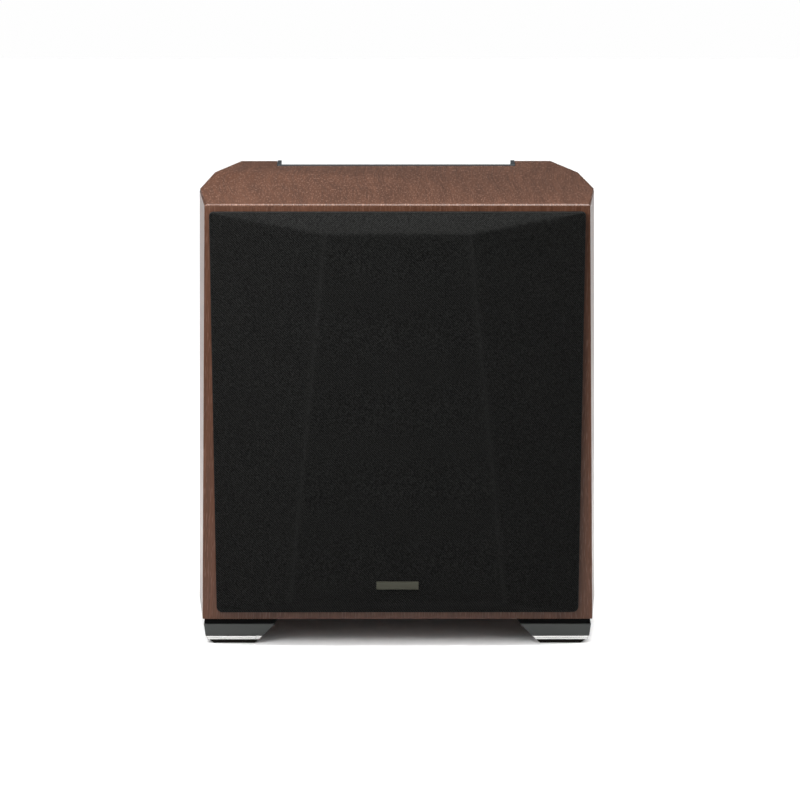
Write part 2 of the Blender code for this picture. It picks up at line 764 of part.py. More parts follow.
def make_spoke(offset):
    """One spoke in the direction of offset, from inside the flange to inside the shelf."""
    across = Vector((-offset.z, 0.0, offset.x)) * SPOKE_WIDTH / 2
    start = (FLANGE_INNER + SPOKE_LAP, FLANGE_THICK / 2)
    end = (SHELF_OUTER - SPOKE_LAP, PLATE_DEPTH - SPOKE_LAP)
    rings = []
    for radius, depth in (start, end):
        inner = driver_point(depth) + offset * radius
        outer = inner + offset * SPOKE_THICK
        rings.append([inner - across, inner + across, outer + across, outer - across])
    return loft(rings)


def make_surround():
    """Half-roll edge: lips on the flange and on the cone's rim, with a roll standing forward between."""
    base = -GAP
    turns = [math.pi * i / SURROUND_STEPS for i in range(SURROUND_STEPS + 1)]

    def roll(radius, rise):
        return [(SURROUND_MIDDLE + radius * math.cos(t), base - rise - radius * math.sin(t)) for t in turns]

    profile = [(SURROUND_OUTER, base), (SURROUND_OUTER, base - SURROUND_THICK)]
    profile += roll(SURROUND_ROLL, SURROUND_THICK)
    profile += [(CONE_LIP, base - SURROUND_THICK), (CONE_LIP, base)]
    profile += reversed(roll(SURROUND_ROLL - SURROUND_THICK, 0.0))
    put_turned("surround", profile, "rubber")


def cone_depth(radius):
    """The cone's slightly bowed flank, as a depth behind its rim."""
    share = (CONE_LIP - radius) / (CONE_LIP - CONE_NECK)
    return CONE_DEPTH * ((1 - CONE_BOW) * share + CONE_BOW * share * share)


def make_cone(travel):
    radii = [CONE_LIP + (CONE_NECK - CONE_LIP) * i / CONE_STEPS for i in range(CONE_STEPS + 1)]
    front = [(CONE_RIM, 0.0)] + [(r, cone_depth(r)) for r in radii]
    back = [(r, depth + CONE_THICK) for r, depth in reversed(front)]
    put_turned("cone", front + back, "cone_metal", travel)


def make_dust_cap(travel):
    seat = cone_depth(CAP_RADIUS) - CAP_THICK - GAP
    sphere = (CAP_RADIUS**2 + CAP_HEIGHT**2) / (2 * CAP_HEIGHT)

    def dome(lift):
        edge = math.asin(CAP_RADIUS / sphere)
        points = []
        for i in range(CAP_STEPS + 1):
            angle = edge * i / CAP_STEPS
            radius = (sphere + lift) * math.sin(angle)
            points.append((radius, seat - CAP_HEIGHT + sphere - (sphere + lift) * math.cos(angle)))
        return points

    profile = dome(0.0) + list(reversed(dome(-CAP_THICK)))
    put_turned("dust_cap", profile, "cone_metal", travel)


def make_voice_coil(travel):
    start = CONE_DEPTH - FORMER_LAP
    profile = [
        (FORMER_INNER, start),
        (FORMER_OUTER, start),
        (FORMER_OUTER, COIL_START),
        (COIL_OUTER, COIL_START),
        (COIL_OUTER, COIL_END),
        (FORMER_INNER, COIL_END),
    ]
    put_turned("voice_coil", profile, "copper", travel)


def make_spider():
    """Corrugated disc that centres the coil, from the former out to the basket's shelf."""
    inner = FORMER_OUTER + 2 * GAP
    crests = 2 * SPIDER_WAVES
    front = [(inner, SPIDER_DEPTH)]
    for i in range(crests):
        radius = inner + (SHELF_INNER - inner) * (i + 0.5) / crests
        front.append((radius, SPIDER_DEPTH + SPIDER_WAVE * (-1) ** i))
    front += [(SHELF_INNER, SPIDER_DEPTH), (SPIDER_OUTER, SPIDER_DEPTH)]
    back = [(radius, depth + SPIDER_THICK) for radius, depth in reversed(front)]
    put_turned("spider", front + back, "resin_cloth")


def make_motor():
    plate_end = PLATE_DEPTH + PLATE_THICK
    magnet_start = plate_end + GAP
    magnet_end = magnet_start + RING_MAGNET_THICK
    back_start = magnet_end + GAP
    back_end = back_start + BACK_PLATE_THICK
    put_turned("top_plate", ring(PLATE_INNER, PLATE_OUTER, PLATE_DEPTH, plate_end), "steel")
    magnet = ring(RING_MAGNET_INNER, RING_MAGNET_OUTER, magnet_start, magnet_end)
    put_turned("ring_magnet", magnet, "ferrite")
    pole = [
        (POLE_VENT, PLATE_DEPTH),
        (POLE_RADIUS, PLATE_DEPTH),
        (POLE_RADIUS, back_start),
        (PLATE_OUTER, back_start),
        (PLATE_OUTER, back_end),
        (POLE_VENT, back_end),
    ]
    put_turned("back_plate", pole, "steel")


def make_terminal_block():
    """Two blade terminals on a block beside the lowest spoke of the basket."""
    x = SPOKE_WIDTH / 2 + GAP
    depth = FLANGE_DEPTH + TERMINAL_DEPTH
    top = DRIVER_Z - TERMINAL_DROP
    end = depth + TERMINAL_THICK
    block = depth_box((x, x + TERMINAL_WIDTH), (depth, end), (top - TERMINAL_THICK, top))
    made = put("terminal_block", block, "black_plastic")
    width, length, thick = BLADE_SIZE
    reach = (end - 2 * LAP, end - 2 * LAP + length)
    height = (top - BLADE_DROP - thick, top - BLADE_DROP)
    blades = [depth_box((x + at, x + at + width), reach, height) for at in BLADE_OFFSETS]
    combine(made, merge(*blades), "UNION")


def make_screws():
    """Pan-headed screws through the flange into the baffle."""
    for number, offset in enumerate(around(SCREW_CIRCLE), start=1):
        centre = driver_point(0.0) + offset
        screw = turned(HEAD_PROFILE + SHANK_PROFILE, centre, TINY_SIDES)
        round_off(put(f"driver_screw_{number}", screw, "steel", centre))


def make_driver():
    travel = pivot("cone_travel", driver_point(0.0))
    make_basket()
    make_surround()
    make_cone(travel)
    make_dust_cap(travel)
    make_voice_coil(travel)
    make_spider()
    make_motor()
    make_terminal_block()
    make_screws()


def make_chassis():
    """U-shaped liner of the channel, standing a little proud of the top panel."""
    outer = CHANNEL_HALF
    inner = CHANNEL_HALF - CHANNEL_WALL
    back = CHANNEL_DEPTH + GAP
    end = CABINET_DEPTH - CHANNEL_SETBACK
    right = [(inner, back + CHANNEL_WALL), (inner, end), (outer, end), (outer, back)]
    left = [(-x, depth) for x, depth in reversed(right)]
    outline = [(x, FRONT_Y + depth) for x, depth in right + left]
    shape = prism(outline, CABINET_FLOOR, CABINET_TOP + CHANNEL_PROUD, "Z")
    made = put("amp_chassis", shape, "slate_metal")
    past = (back - CUT_PAST, back + CHANNEL_WALL + CUT_PAST)
    window = depth_box((-CHANNEL_WINDOW_HALF, CHANNEL_WINDOW_HALF), past, CHANNEL_WINDOW_Z)
    combine(made, window, "DIFFERENCE")


def make_heat_sink():
    base = CHANNEL_DEPTH + CHANNEL_WALL + 2 * GAP
    face = base + SINK_BASE
    tip = face + FIN_LENGTH
    pitch = (2 * SINK_HALF - FIN_THICK) / (SINK_FINS - 1)
    comb = [(SINK_HALF, base), (-SINK_HALF, base)]
    for number in range(SINK_FINS):
        left = -SINK_HALF + number * pitch
        right = left + FIN_THICK
        if number > 0:
            comb.append((left, face))
        comb += [(left, tip), (right, tip)]
        if number < SINK_FINS - 1:
            comb.append((right, face))
    outline = [(x, FRONT_Y + depth) for x, depth in comb]
    put("heat_sink", prism(outline, SINK_FLOOR, SINK_TOP, "Z"), "slate_metal")


def make_connection_plate():
    low, high = PLATE_FACE - CONNECTION_THICK, PLATE_FACE
    width = (-CONNECTION_HALF, CONNECTION_HALF)
    plate = depth_box(width, (low, high), (CONNECTION_FLOOR, CONNECTION_TOP))
    made = put("connection_plate", plate, "slate_metal")
    past = (low - CUT_PAST, high + CUT_PAST)
    through = disc(BALANCED_RADIUS + GAP, -CUT_PAST, CUT_PAST)
    holes = [
        upright_box(INLET_X, INLET_Z, INLET_HALVES, past, GAP),
        upright_box(LINE_X, CONTROL_Z, LINE_HALVES, past, GAP),
        upright_box(MODE_X, CONTROL_Z, MODE_SLOT_HALVES, past),
        turned(through, on_plan(BALANCED_X, high, CONTROL_Z), SMALL_SIDES),
    ]
    shaft_hole = disc(SHAFT_RADIUS + SHAFT_CLEARANCE, -CUT_PAST, CUT_PAST)
    for x in (LEVEL_X, CROSSOVER_X):
        holes.append(turned(shaft_hole, on_plan(x, high, CONTROL_Z), SMALL_SIDES))
    combine(made, merge(*holes), "DIFFERENCE")
    combine(made, upright_box(BALANCED_X, LATCH_Z, LATCH_HALVES, past, 2 * GAP), "DIFFERENCE")


def make_knob(name, x):
    """A knob with its shaft, which turns about the shaft."""
    centre = on_plan(x, PLATE_FACE, CONTROL_Z)
    end = KNOB_START + KNOB_LENGTH
    face_inset, edge_inset, edge_drop = KNOB_CHAMFER
    profile = [
        (0.0, end),
        (KNOB_RADIUS - face_inset, end),
        (KNOB_RADIUS - edge_inset, end - edge_drop),
        (KNOB_RADIUS, KNOB_START),
        (SHAFT_RADIUS, KNOB_START),
        (SHAFT_RADIUS, SHAFT_END),
        (0.0, SHAFT_END),
    ]
    turn = pivot(name + "_turn", centre)
    made = put(name, turned(profile, centre, SMALL_SIDES), "black_plastic", centre, turn)
    half = POINTER_WIDTH / 2
    low = centre + Vector((-half, end - POINTER_DEPTH, -half))
    high = centre + Vector((half, end + POINTER_DEPTH, KNOB_RADIUS + POINTER_DEPTH))
    combine(made, box(low, high), "DIFFERENCE")


def make_mains_inlet():
    """Appliance inlet, fuse drawer and power rocker in one housing."""
    flange = (PLATE_FACE + GAP, PLATE_FACE + GAP + INLET_LIP_THICK)
    body = upright_box(INLET_X, INLET_Z, INLET_HALVES, (INLET_START, flange[1] - LAP))
    made = put("mains_inlet", body, "black_plastic")
    combine(made, upright_box(INLET_X, INLET_Z, INLET_HALVES, flange, INLET_LIP), "UNION")
    mouth = flange[1] + CUT_PAST
    wells = [
        prism(socket_outline(), FRONT_Y + SOCKET_START, FRONT_Y + mouth, "Y"),
        upright_box(INLET_X, FUSE_Z, FUSE_HALVES, (FUSE_WELL_START, mouth), FUSE_CLEARANCE),
        upright_box(INLET_X, ROCKER_Z, ROCKER_WELL_HALVES, (ROCKER_WELL_START, mouth)),
    ]
    combine(made, merge(*wells), "DIFFERENCE")
    pins = [upright_box(INLET_X + x, SOCKET_Z + z, PIN_HALVES, PIN_DEPTHS) for x, z in PIN_OFFSETS]
    combine(made, merge(*pins), "UNION")


def socket_outline():
    """The appliance socket's mouth: a rectangle with its two lower corners cut off."""
    half, rise = SOCKET_HALVES
    right = [(half, rise), (half, SOCKET_CUT - rise), (half - SOCKET_CUT, -rise)]
    left = [(-x, z) for x, z in reversed(right)]
    return [(INLET_X + x, SOCKET_Z + z) for x, z in right + left]


def make_fuse_drawer():
    centre = on_plan(INLET_X, PLATE_FACE, FUSE_Z)
    slide = pivot("fuse_drawer_pull", centre)
    face = PLATE_FACE + FUSE_PROUD
    drawer = upright_box(INLET_X, FUSE_Z, FUSE_HALVES, (FUSE_START, face))
    made = put("fuse_drawer", drawer, "black_plastic", centre, slide)
    half, thick, proud = FINGER_LIP
    top = FUSE_Z + FUSE_HALVES[1] - GAP
    lip = depth_box((INLET_X - half, INLET_X + half), (face - LAP, face + proud), (top - thick, top))
    combine(made, lip, "UNION")


def make_power_rocker():
    """V-shaped rocker, stored tilted to on; it turns about the x axis."""
    centre = on_plan(INLET_X, PLATE_FACE + ROCKER_AXIS_PROUD, ROCKER_Z)
    hinge = pivot("power_rocker_tilt", centre)
    half_x, half = ROCKER_HALVES
    narrow = half * ROCKER_TAPER
    profile = [
        (ROCKER_BACK, -narrow),
        (ROCKER_FRONT, -half),
        (ROCKER_VALLEY, 0.0),
        (ROCKER_FRONT, half),
        (ROCKER_BACK, narrow),
    ]
    shape = prism(profile, -half_x, half_x, "X")
    pose = Matrix.Translation(centre) @ Matrix.Rotation(ROCKER_TILT, 4, "X")
    bmesh.ops.transform(shape, matrix=pose, verts=shape.verts)
    put("power_rocker", shape, "black_plastic", centre, hinge)


def make_mode_switch():
    """Slide switch: a finger nub through the plate on a wider carriage behind it."""
    centre = on_plan(MODE_X - MODE_TRAVEL / 2, PLATE_FACE, CONTROL_Z)
    slide = pivot("mode_switch_slide", centre)
    nub = upright_box(centre.x, CONTROL_Z, NUB_HALVES, (NUB_START, PLATE_FACE + NUB_PROUD))
    made = put("mode_switch", nub, "black_plastic", centre, slide)
    back = PLATE_FACE - CONNECTION_THICK - GAP
    carriage = upright_box(centre.x, CONTROL_Z, CARRIAGE_HALVES, (back - CARRIAGE_THICK, back))
    combine(made, carriage, "UNION")


def make_balanced_socket():
    """Round three-pole socket with a latch slot above it."""
    centre = on_plan(BALANCED_X, PLATE_FACE, CONTROL_Z)
    face = PLATE_FACE + GAP + BALANCED_FLANGE_THICK
    flange_z = CONTROL_Z + BALANCED_FLANGE_RISE
    flange = upright_box(BALANCED_X, flange_z, BALANCED_FLANGE_HALVES, (PLATE_FACE + GAP, face))
    made = put("balanced_socket", flange, "black_plastic")
    barrel = disc(BALANCED_RADIUS, -BALANCED_DEPTH, BALANCED_FLANGE_THICK)
    combine(made, turned(barrel, centre, SMALL_SIDES), "UNION")
    combine(made, turned(ring(*PLUG_RING, -PLUG_DEPTH, CUT_PAST), centre, SMALL_SIDES), "DIFFERENCE")
    contact = disc(CONTACT_RADIUS, -CONTACT_DEPTH, CUT_PAST)
    spots = around(CONTACT_CIRCLE, CONTACTS, math.pi / 6)
    contacts = [turned(contact, centre + spot, TINY_SIDES) for spot in spots]
    combine(made, merge(*contacts), "DIFFERENCE")
    slot = (PLATE_FACE - LATCH_SLOT_DEPTH, PLATE_FACE + CUT_PAST)
    combine(made, upright_box(BALANCED_X, LATCH_Z, LATCH_HALVES, slot, GAP), "DIFFERENCE")


def make_latch():
    """Press tab that frees the balanced plug."""
    press = pivot("latch_press", on_plan(BALANCED_X, PLATE_FACE, LATCH_Z))
    depth = [PLATE_FACE + reach for reach in LATCH_DEPTHS]
    tab = upright_box(BALANCED_X, LATCH_Z, LATCH_HALVES, depth)
    put("balanced_latch", tab, "steel", press.location, press)


def make_line_inputs():
    """Two phono sockets, one above the other, on a shared block."""
    flange = (PLATE_FACE + GAP, PLATE_FACE + GAP + LINE_LIP_THICK)
    body = upright_box(LINE_X, CONTROL_Z, LINE_HALVES, (LINE_START, flange[1] - GAP))
    made = put("line_inputs", body, "black_plastic")
    combine(made, upright_box(LINE_X, CONTROL_Z, LINE_HALVES, flange, LINE_LIP), "UNION")
    centres = [on_plan(LINE_X, PLATE_FACE, CONTROL_Z + rise) for rise in (-PHONO_OFFSET, PHONO_OFFSET)]
    barrel, bore = disc(PHONO_RADIUS, LAP, PHONO_LENGTH), disc(PHONO_BORE, 2 * LAP, 2 * PHONO_LENGTH)
    combine(made, merge(*[turned(barrel, centre, SMALL_SIDES) for centre in centres]), "UNION")
    combine(made, merge(*[turned(bore, centre, TINY_SIDES) for centre in centres]), "DIFFERENCE")


def make_amp_board():
    """Circuit board on four posts that reach back to the channel's front wall."""
    back = BOARD_DEPTH + BOARD_THICK
    board = depth_box((-BOARD_HALF, BOARD_HALF), (BOARD_DEPTH, back), BOARD_Z)
    made = put("amp_board", board, "board_green")
    post = disc(POST_RADIUS, -LAP, CHANNEL_DEPTH - back)
    inset_x, inset_z = POST_INSET
    posts = [
        turned(post, on_plan(x, back, z), TINY_SIDES)
        for x in (inset_x - BOARD_HALF, BOARD_HALF - inset_x)
        for z in (BOARD_Z[0] + inset_z, BOARD_Z[1] - inset_z)
    ]
    combine(made, merge(*posts), "UNION")


def make_amp_parts():
    """Toroidal transformer on the channel's wall and a capacitor on the circuit board."""
    start, end, corner = CHANNEL_DEPTH - TOROID_THICK, CHANNEL_DEPTH, TOROID_CORNER
    inner, outer = TOROID_INNER, TOROID_OUTER
    toroid = [
        (inner, start + corner),
        (inner + corner, start),
        (outer - corner, start),
        (outer, start + corner),
        (outer, end - corner),
        (outer - corner, end),
        (inner + corner, end),
        (inner, end - corner),
    ]
    round_off(put("power_transformer", turned(toroid, on_plan(0.0, 0.0, TOROID_Z)), "copper"))
    seat = on_plan(CAPACITOR_X, BOARD_DEPTH - GAP, CAPACITOR_Z)
    can = turned(disc(CAPACITOR_RADIUS, -CAPACITOR_LENGTH, 0.0), seat, SMALL_SIDES)
    round_off(put("capacitor", can, "black_plastic"))


def smooth_route(points, per_stretch):
    """Points on a Catmull-Rom curve through the given ones."""
    ends = [2 * points[0] - points[1]] + points + [2 * points[-1] - points[-2]]
    route = []
    for a, b, c, d in zip(ends, ends[1:], ends[2:], ends[3:]):
        bend = 2 * a - 5 * b + 4 * c - d
        twist = 3 * b - a - 3 * c + d
        for i in range(per_stretch):
            t = i / per_stretch
            route.append(b + ((c - a) * t + bend * t**2 + twist * t**3) / 2)
    return route + [points[-1]]


def make_driver_lead():
    """Two-core lead held inside the cabinet, from the board to the driver's terminals."""
    curve = bpy.data.curves.new("driver_lead", "CURVE")
    curve.dimensions = "3D"
    curve.bevel_depth = LEAD_RADIUS
    curve.bevel_resolution = 2
    curve.render_resolution_u = 0
    curve.use_fill_caps = True
    route = smooth_route([on_plan(*spot) for spot in LEAD_SPOTS], LEAD_STEPS)
    spline = curve.splines.new("POLY")
    spline.points.add(len(route) - 1)
    for point, place in zip(spline.points, route):
        point.co = (*place, 1.0)
    curve.materials.append(finish_material("driver_lead", *FINISHES["rubber"]))
    bpy.context.collection.objects.link(bpy.data.objects.new("driver_lead", curve))


def make_amplifier():
    make_chassis()
    make_heat_sink()
    make_connection_plate()
    make_knob("level_knob", LEVEL_X)
    make_knob("crossover_knob", CROSSOVER_X)
    make_mains_inlet()
    make_fuse_drawer()
    make_power_rocker()
    make_mode_switch()
    make_balanced_socket()
    make_latch()
    make_line_inputs()
    make_amp_board()
    make_amp_parts()
    make_driver_lead()


def foot_level(row, side, level):
    """One level of a foot: a rectangle between its outer and inner x, set in all round."""
    outer, inner, z, inset = level
    shift, start = (REAR_FOOT_SHIFT, REAR_FOOT_SETBACK) if row == "rear" else (0.0, FRONT_FOOT_SETBACK)
    near, far = start + inset, start + FOOT_LENGTH - inset
    xs = (side * (outer + shift - inset), side * (inner + shift + inset))
    return [on_plan(*corner, z) for corner in rectangle(*xs, near, far)]


def make_foot(row, name):
    side = 1 if name == "right" else -1
    for part, levels, finish in (
        ("bracket", BRACKET_LEVELS, "foot_grey"),
        ("trim", TRIM_LEVELS, "bright_trim"),
        ("pad", PAD_LEVELS, "rubber"),
    ):
        shape = loft([foot_level(row, side, level) for level in levels])
        put(f"foot_{part}_{row}_{name}", shape, finish)


def main():
    clear_scene()
    make_cabinet()
    make_grille()
    make_driver()
    make_amplifier()
    for row, name in FOOT_CORNERS:
        make_foot(row, name)


main()
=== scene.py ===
"""Looks of the powered subwoofer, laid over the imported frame: veneer, cloth, driver, amplifier and feet.

Metres, +Z up, in the frame's own coordinates. The front faces -Y. Depths run backwards, along +Y.
"""

import json
import math

import bmesh
import bpy
from mathutils import Matrix, Vector

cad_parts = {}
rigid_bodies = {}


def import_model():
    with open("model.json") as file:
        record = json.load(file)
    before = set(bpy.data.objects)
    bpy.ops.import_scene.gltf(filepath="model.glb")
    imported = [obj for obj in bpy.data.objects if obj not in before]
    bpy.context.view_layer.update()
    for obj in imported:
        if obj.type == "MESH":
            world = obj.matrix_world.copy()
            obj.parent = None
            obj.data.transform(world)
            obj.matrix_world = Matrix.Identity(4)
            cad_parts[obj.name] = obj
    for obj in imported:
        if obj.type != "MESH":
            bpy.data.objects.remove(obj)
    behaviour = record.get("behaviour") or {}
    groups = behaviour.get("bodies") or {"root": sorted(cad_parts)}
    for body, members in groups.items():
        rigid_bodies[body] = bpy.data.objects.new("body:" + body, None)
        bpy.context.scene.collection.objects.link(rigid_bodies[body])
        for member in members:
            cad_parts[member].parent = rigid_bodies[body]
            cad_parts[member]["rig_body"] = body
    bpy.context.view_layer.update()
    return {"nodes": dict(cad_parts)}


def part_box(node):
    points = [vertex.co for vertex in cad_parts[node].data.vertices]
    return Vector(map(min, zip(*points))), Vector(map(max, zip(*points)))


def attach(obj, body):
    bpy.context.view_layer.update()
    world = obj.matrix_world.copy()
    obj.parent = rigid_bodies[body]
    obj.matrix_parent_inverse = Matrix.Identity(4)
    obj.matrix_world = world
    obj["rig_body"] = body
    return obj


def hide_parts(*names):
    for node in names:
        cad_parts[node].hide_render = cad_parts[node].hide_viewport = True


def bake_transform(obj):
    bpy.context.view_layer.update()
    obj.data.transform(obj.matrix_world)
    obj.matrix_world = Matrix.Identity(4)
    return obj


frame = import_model()
NODES = frame["nodes"]

# Shared tolerances
WELD = 0.000005
GAP = 0.0003
FLAT_ANGLE = math.radians(0.3)
CREASE_DEGREES = 35
PLACES = 5

# Shared roundings
ROUND_STEPS = 3
SMALL_SIDES = 48
FINE_EDGE = 0.0004

# Cabinet skin
SKIN = 0.0004
WRAP_ROWS = 12
HOLE_SIDES = 128
FACET_CREASE_DEGREES = 5
NOTCH_CLEARANCE = 0.01
TOP_FACE_RISE = 0.3
GRAIN_BEND = 0.016
RING_PITCH = 0.024
PORE_DEPTH = 0.000006

# Grille
CLOTH_THICK = 0.0008
CLOTH_CELL = 0.0025
RIM_ROUND = 0.0014
RIM_STEPS = 4
CORNER_STEPS = 6
RIDGE_SOFTNESS = 0.0004
TWILL_PITCH = 0.0027
WARP_LEAN = 0.4
SOUND_HOLE_PITCH = 0.005
BADGE_BORDER = 0.0007
BADGE_RECESS = 0.00035
MAGNET_EDGE = 0.0005

# Driver, measured backwards from its flange's front
FINE_SIDES = 128
FLANGE_INNER = 0.1400
FLANGE_THICK = 0.006
FLANGE_ROUND = 0.0012
SHELF_RADIUS = 0.0900
SHELF_INNER = 0.0770
SHELF_DEPTH = 0.0765
SPOKES = 6
SPOKE_WIDTH = 0.016
SPOKE_THICK = 0.007
SPOKE_SINK = 0.004
SPOKE_TAPER = 0.8
ROLL_RADIUS = 0.0125
ROLL_MIDDLE = 0.1415
ROLL_STEPS = 24
ROLL_THICK = 0.0013
ROLL_EDGE = 0.0004
ROLL_EDGE_SHARE = 0.7
CONE_LIP = 0.1215
CONE_NECK = 0.0388
CONE_DEEP = 0.052
CONE_THICK = 0.0014
CONE_STEPS = 16
CONE_STRAIGHTNESS = 0.85
CAP_STEPS = 14
CAP_THICK = 0.0010
COIL_START = 0.090
FORMER_INNER = 0.0375
FORMER_OUTER = 0.0385
COIL_EDGE = 0.0002
WIRE_PITCH = 0.00045
WIRE_SWAY = 0.0004
SPIDER_THICK = 0.0009
SPIDER_WAVE = 0.0025
SPIDER_WAVES = 4
SPIDER_STEPS = 48
SPIDER_FADE = 0.3
MOTOR_EDGE = 0.0010
MOTOR_RINGS = (
    ("top_plate", 0.0405, "plain_steel"),
    ("ring_magnet", 0.0500, "ferrite"),
)
SCREW_SHANK_SHARE = 0.43

# Amplifier parts that keep their CAD shape: node, slot, edge rounding and, if not 2, its segments
AMPLIFIER_PARTS = (
    ("amp_chassis", "slate_metal", 0.0007, 3),
    ("heat_sink", "slate_metal", 0.0004),
    ("connection_plate", "slate_metal", 0.0004),
    ("mains_inlet", "black_plastic", 0.0004),
    ("fuse_drawer", "black_plastic", 0.0003),
    ("power_rocker", "black_plastic", 0.0005),
    ("mode_switch", "black_plastic", 0.0003),
    ("balanced_socket", "black_plastic", 0.0003),
    ("balanced_latch", "plain_steel", 0.0004),
    ("line_inputs", "black_plastic", 0.0003),
    ("capacitor", "black_plastic", 0.0010),
)

# Connection plate
MARK_THICK = 0.00012
TICKS = 11
TICK_SWEEP = math.radians(300)
TICK_START = 0.0122
TICK_END = 0.0142
TICK_WIDTH = 0.0005
TICK_SHORTER = 0.0007
PLATE_SCREW_INSET = 0.0060
# Head radius, head height, shank radius, shank length
PLATE_SCREW_SIZES = (0.0031, 0.0022, 0.0012, 0.0010)
KNOB_RIBS = 36
KNOB_SIDES = 144
KNOB_RIB_SHARE = 0.022
KNOB_GAP = 0.0010
KNOB_SHAFT = 0.003
KNOB_CREASE_DEGREES = 50
POINTER_HALF_WIDTH = 0.0005
POINTER_SINK = 0.0006
POINTER_SPAN = (0.30, 0.86)

# Contacts, outwards from the plate's face. Rings: inner radius, outer radius, start, end, edge rounding
MAINS_PINS = ((-0.007, -0.006), (0.007, -0.006), (0.0, -0.001))
MAINS_PIN_SIZE = (0.0022, 0.0197, 0.0042)
MAINS_PIN_DEPTH = 0.0190
SLEEVE_RING = (0.0009, 0.00125, -0.011, 0.0021, 0.0001)
SLEEVE_CIRCLE = 0.0038
SLEEVE_DROP = 0.01325
SLEEVE_SIDES = 24
PHONO_RISE = 0.009
PHONO_RINGS = {
    "barrel": (0.0036, 0.0043, 0.0015, 0.0118, 0.0002),
    "insulator": (0.0014, 0.0036, 0.0020, 0.0117, 0.0002),
    "collar": (0.0043, 0.0066, 0.0018, 0.0032, 0.0004),
}

# Feet: (share of the trim's height, inset) of each level, with a groove in the middle
GROOVED_LEVELS = [
    (0.0, 0.0007),
    (0.14, 0.0),
    (0.42, 0.0),
    (0.44, 0.0010),
    (0.56, 0.0010),
    (0.58, 0.0),
    (0.92, 0.0),
    (1.0, 0.0004),
]
FOOT_EDGE = 0.0005

# Camera: far away and long, a little above the grille
CAMERA_DISTANCE = 9.082
CAMERA_ELEVATION = math.radians(7.62)
CAMERA_AZIMUTH = math.radians(-0.22)
CAMERA_LENS = 352.0
CAMERA_AIM_X = 0.0030
CAMERA_AIM_Z = 0.2867
SENSOR_WIDTH = 36.0
CAMERA_REACH = 40.0

# Stage
FLOOR_HALF = 5.0
FLOOR_SHIFT = 2.4
FLOOR_CELLS = 8
FLOOR_WHITE = 0.9
BOUNCE_GREY = 0.56
BOUNCE_DROP = 0.001
BACKDROP_WHITE = (0.991, 0.991, 0.991, 1.0)
HORIZON_GLOW = 0.02
CEILING_GLOW = 0.20
CEILING_RISE = 0.25
AIM = (0.0, -0.1, 0.35)

# Softboxes: name, place, point aimed at, size, watts
SUBJECT_LIGHTS = (
    ("key_front_left", (-0.45, -1.10, 0.85), AIM, (0.7, 0.7), 7.2),
    ("overhead", (0.0, -0.42, 2.0), (0.0, -0.35, 0.5), (1.5, 0.8), 32.5),
    ("fill_front", (-0.2, -3.4, 0.9), AIM, (2.4, 1.2), 4.0),
)
FLOOR_LIGHTS = (
    ("floor_wash", (0.0, 2.4, 6.0), (0.0, 2.4, 0.0), (24.0, 24.0), 2350.0),
    ("floor_front", (0.0, -5.0, 1.5), (0.0, 0.0, 1.5), (12.0, 3.0), 150.0),
)

FRONT_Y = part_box("front_baffle")[0].y
BACK_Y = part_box("top_panel")[1].y
DRIVER_CENTRE = sum(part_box("basket"), Vector()) / 2
DRIVER_CENTRE.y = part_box("basket")[0].y


# Finishes


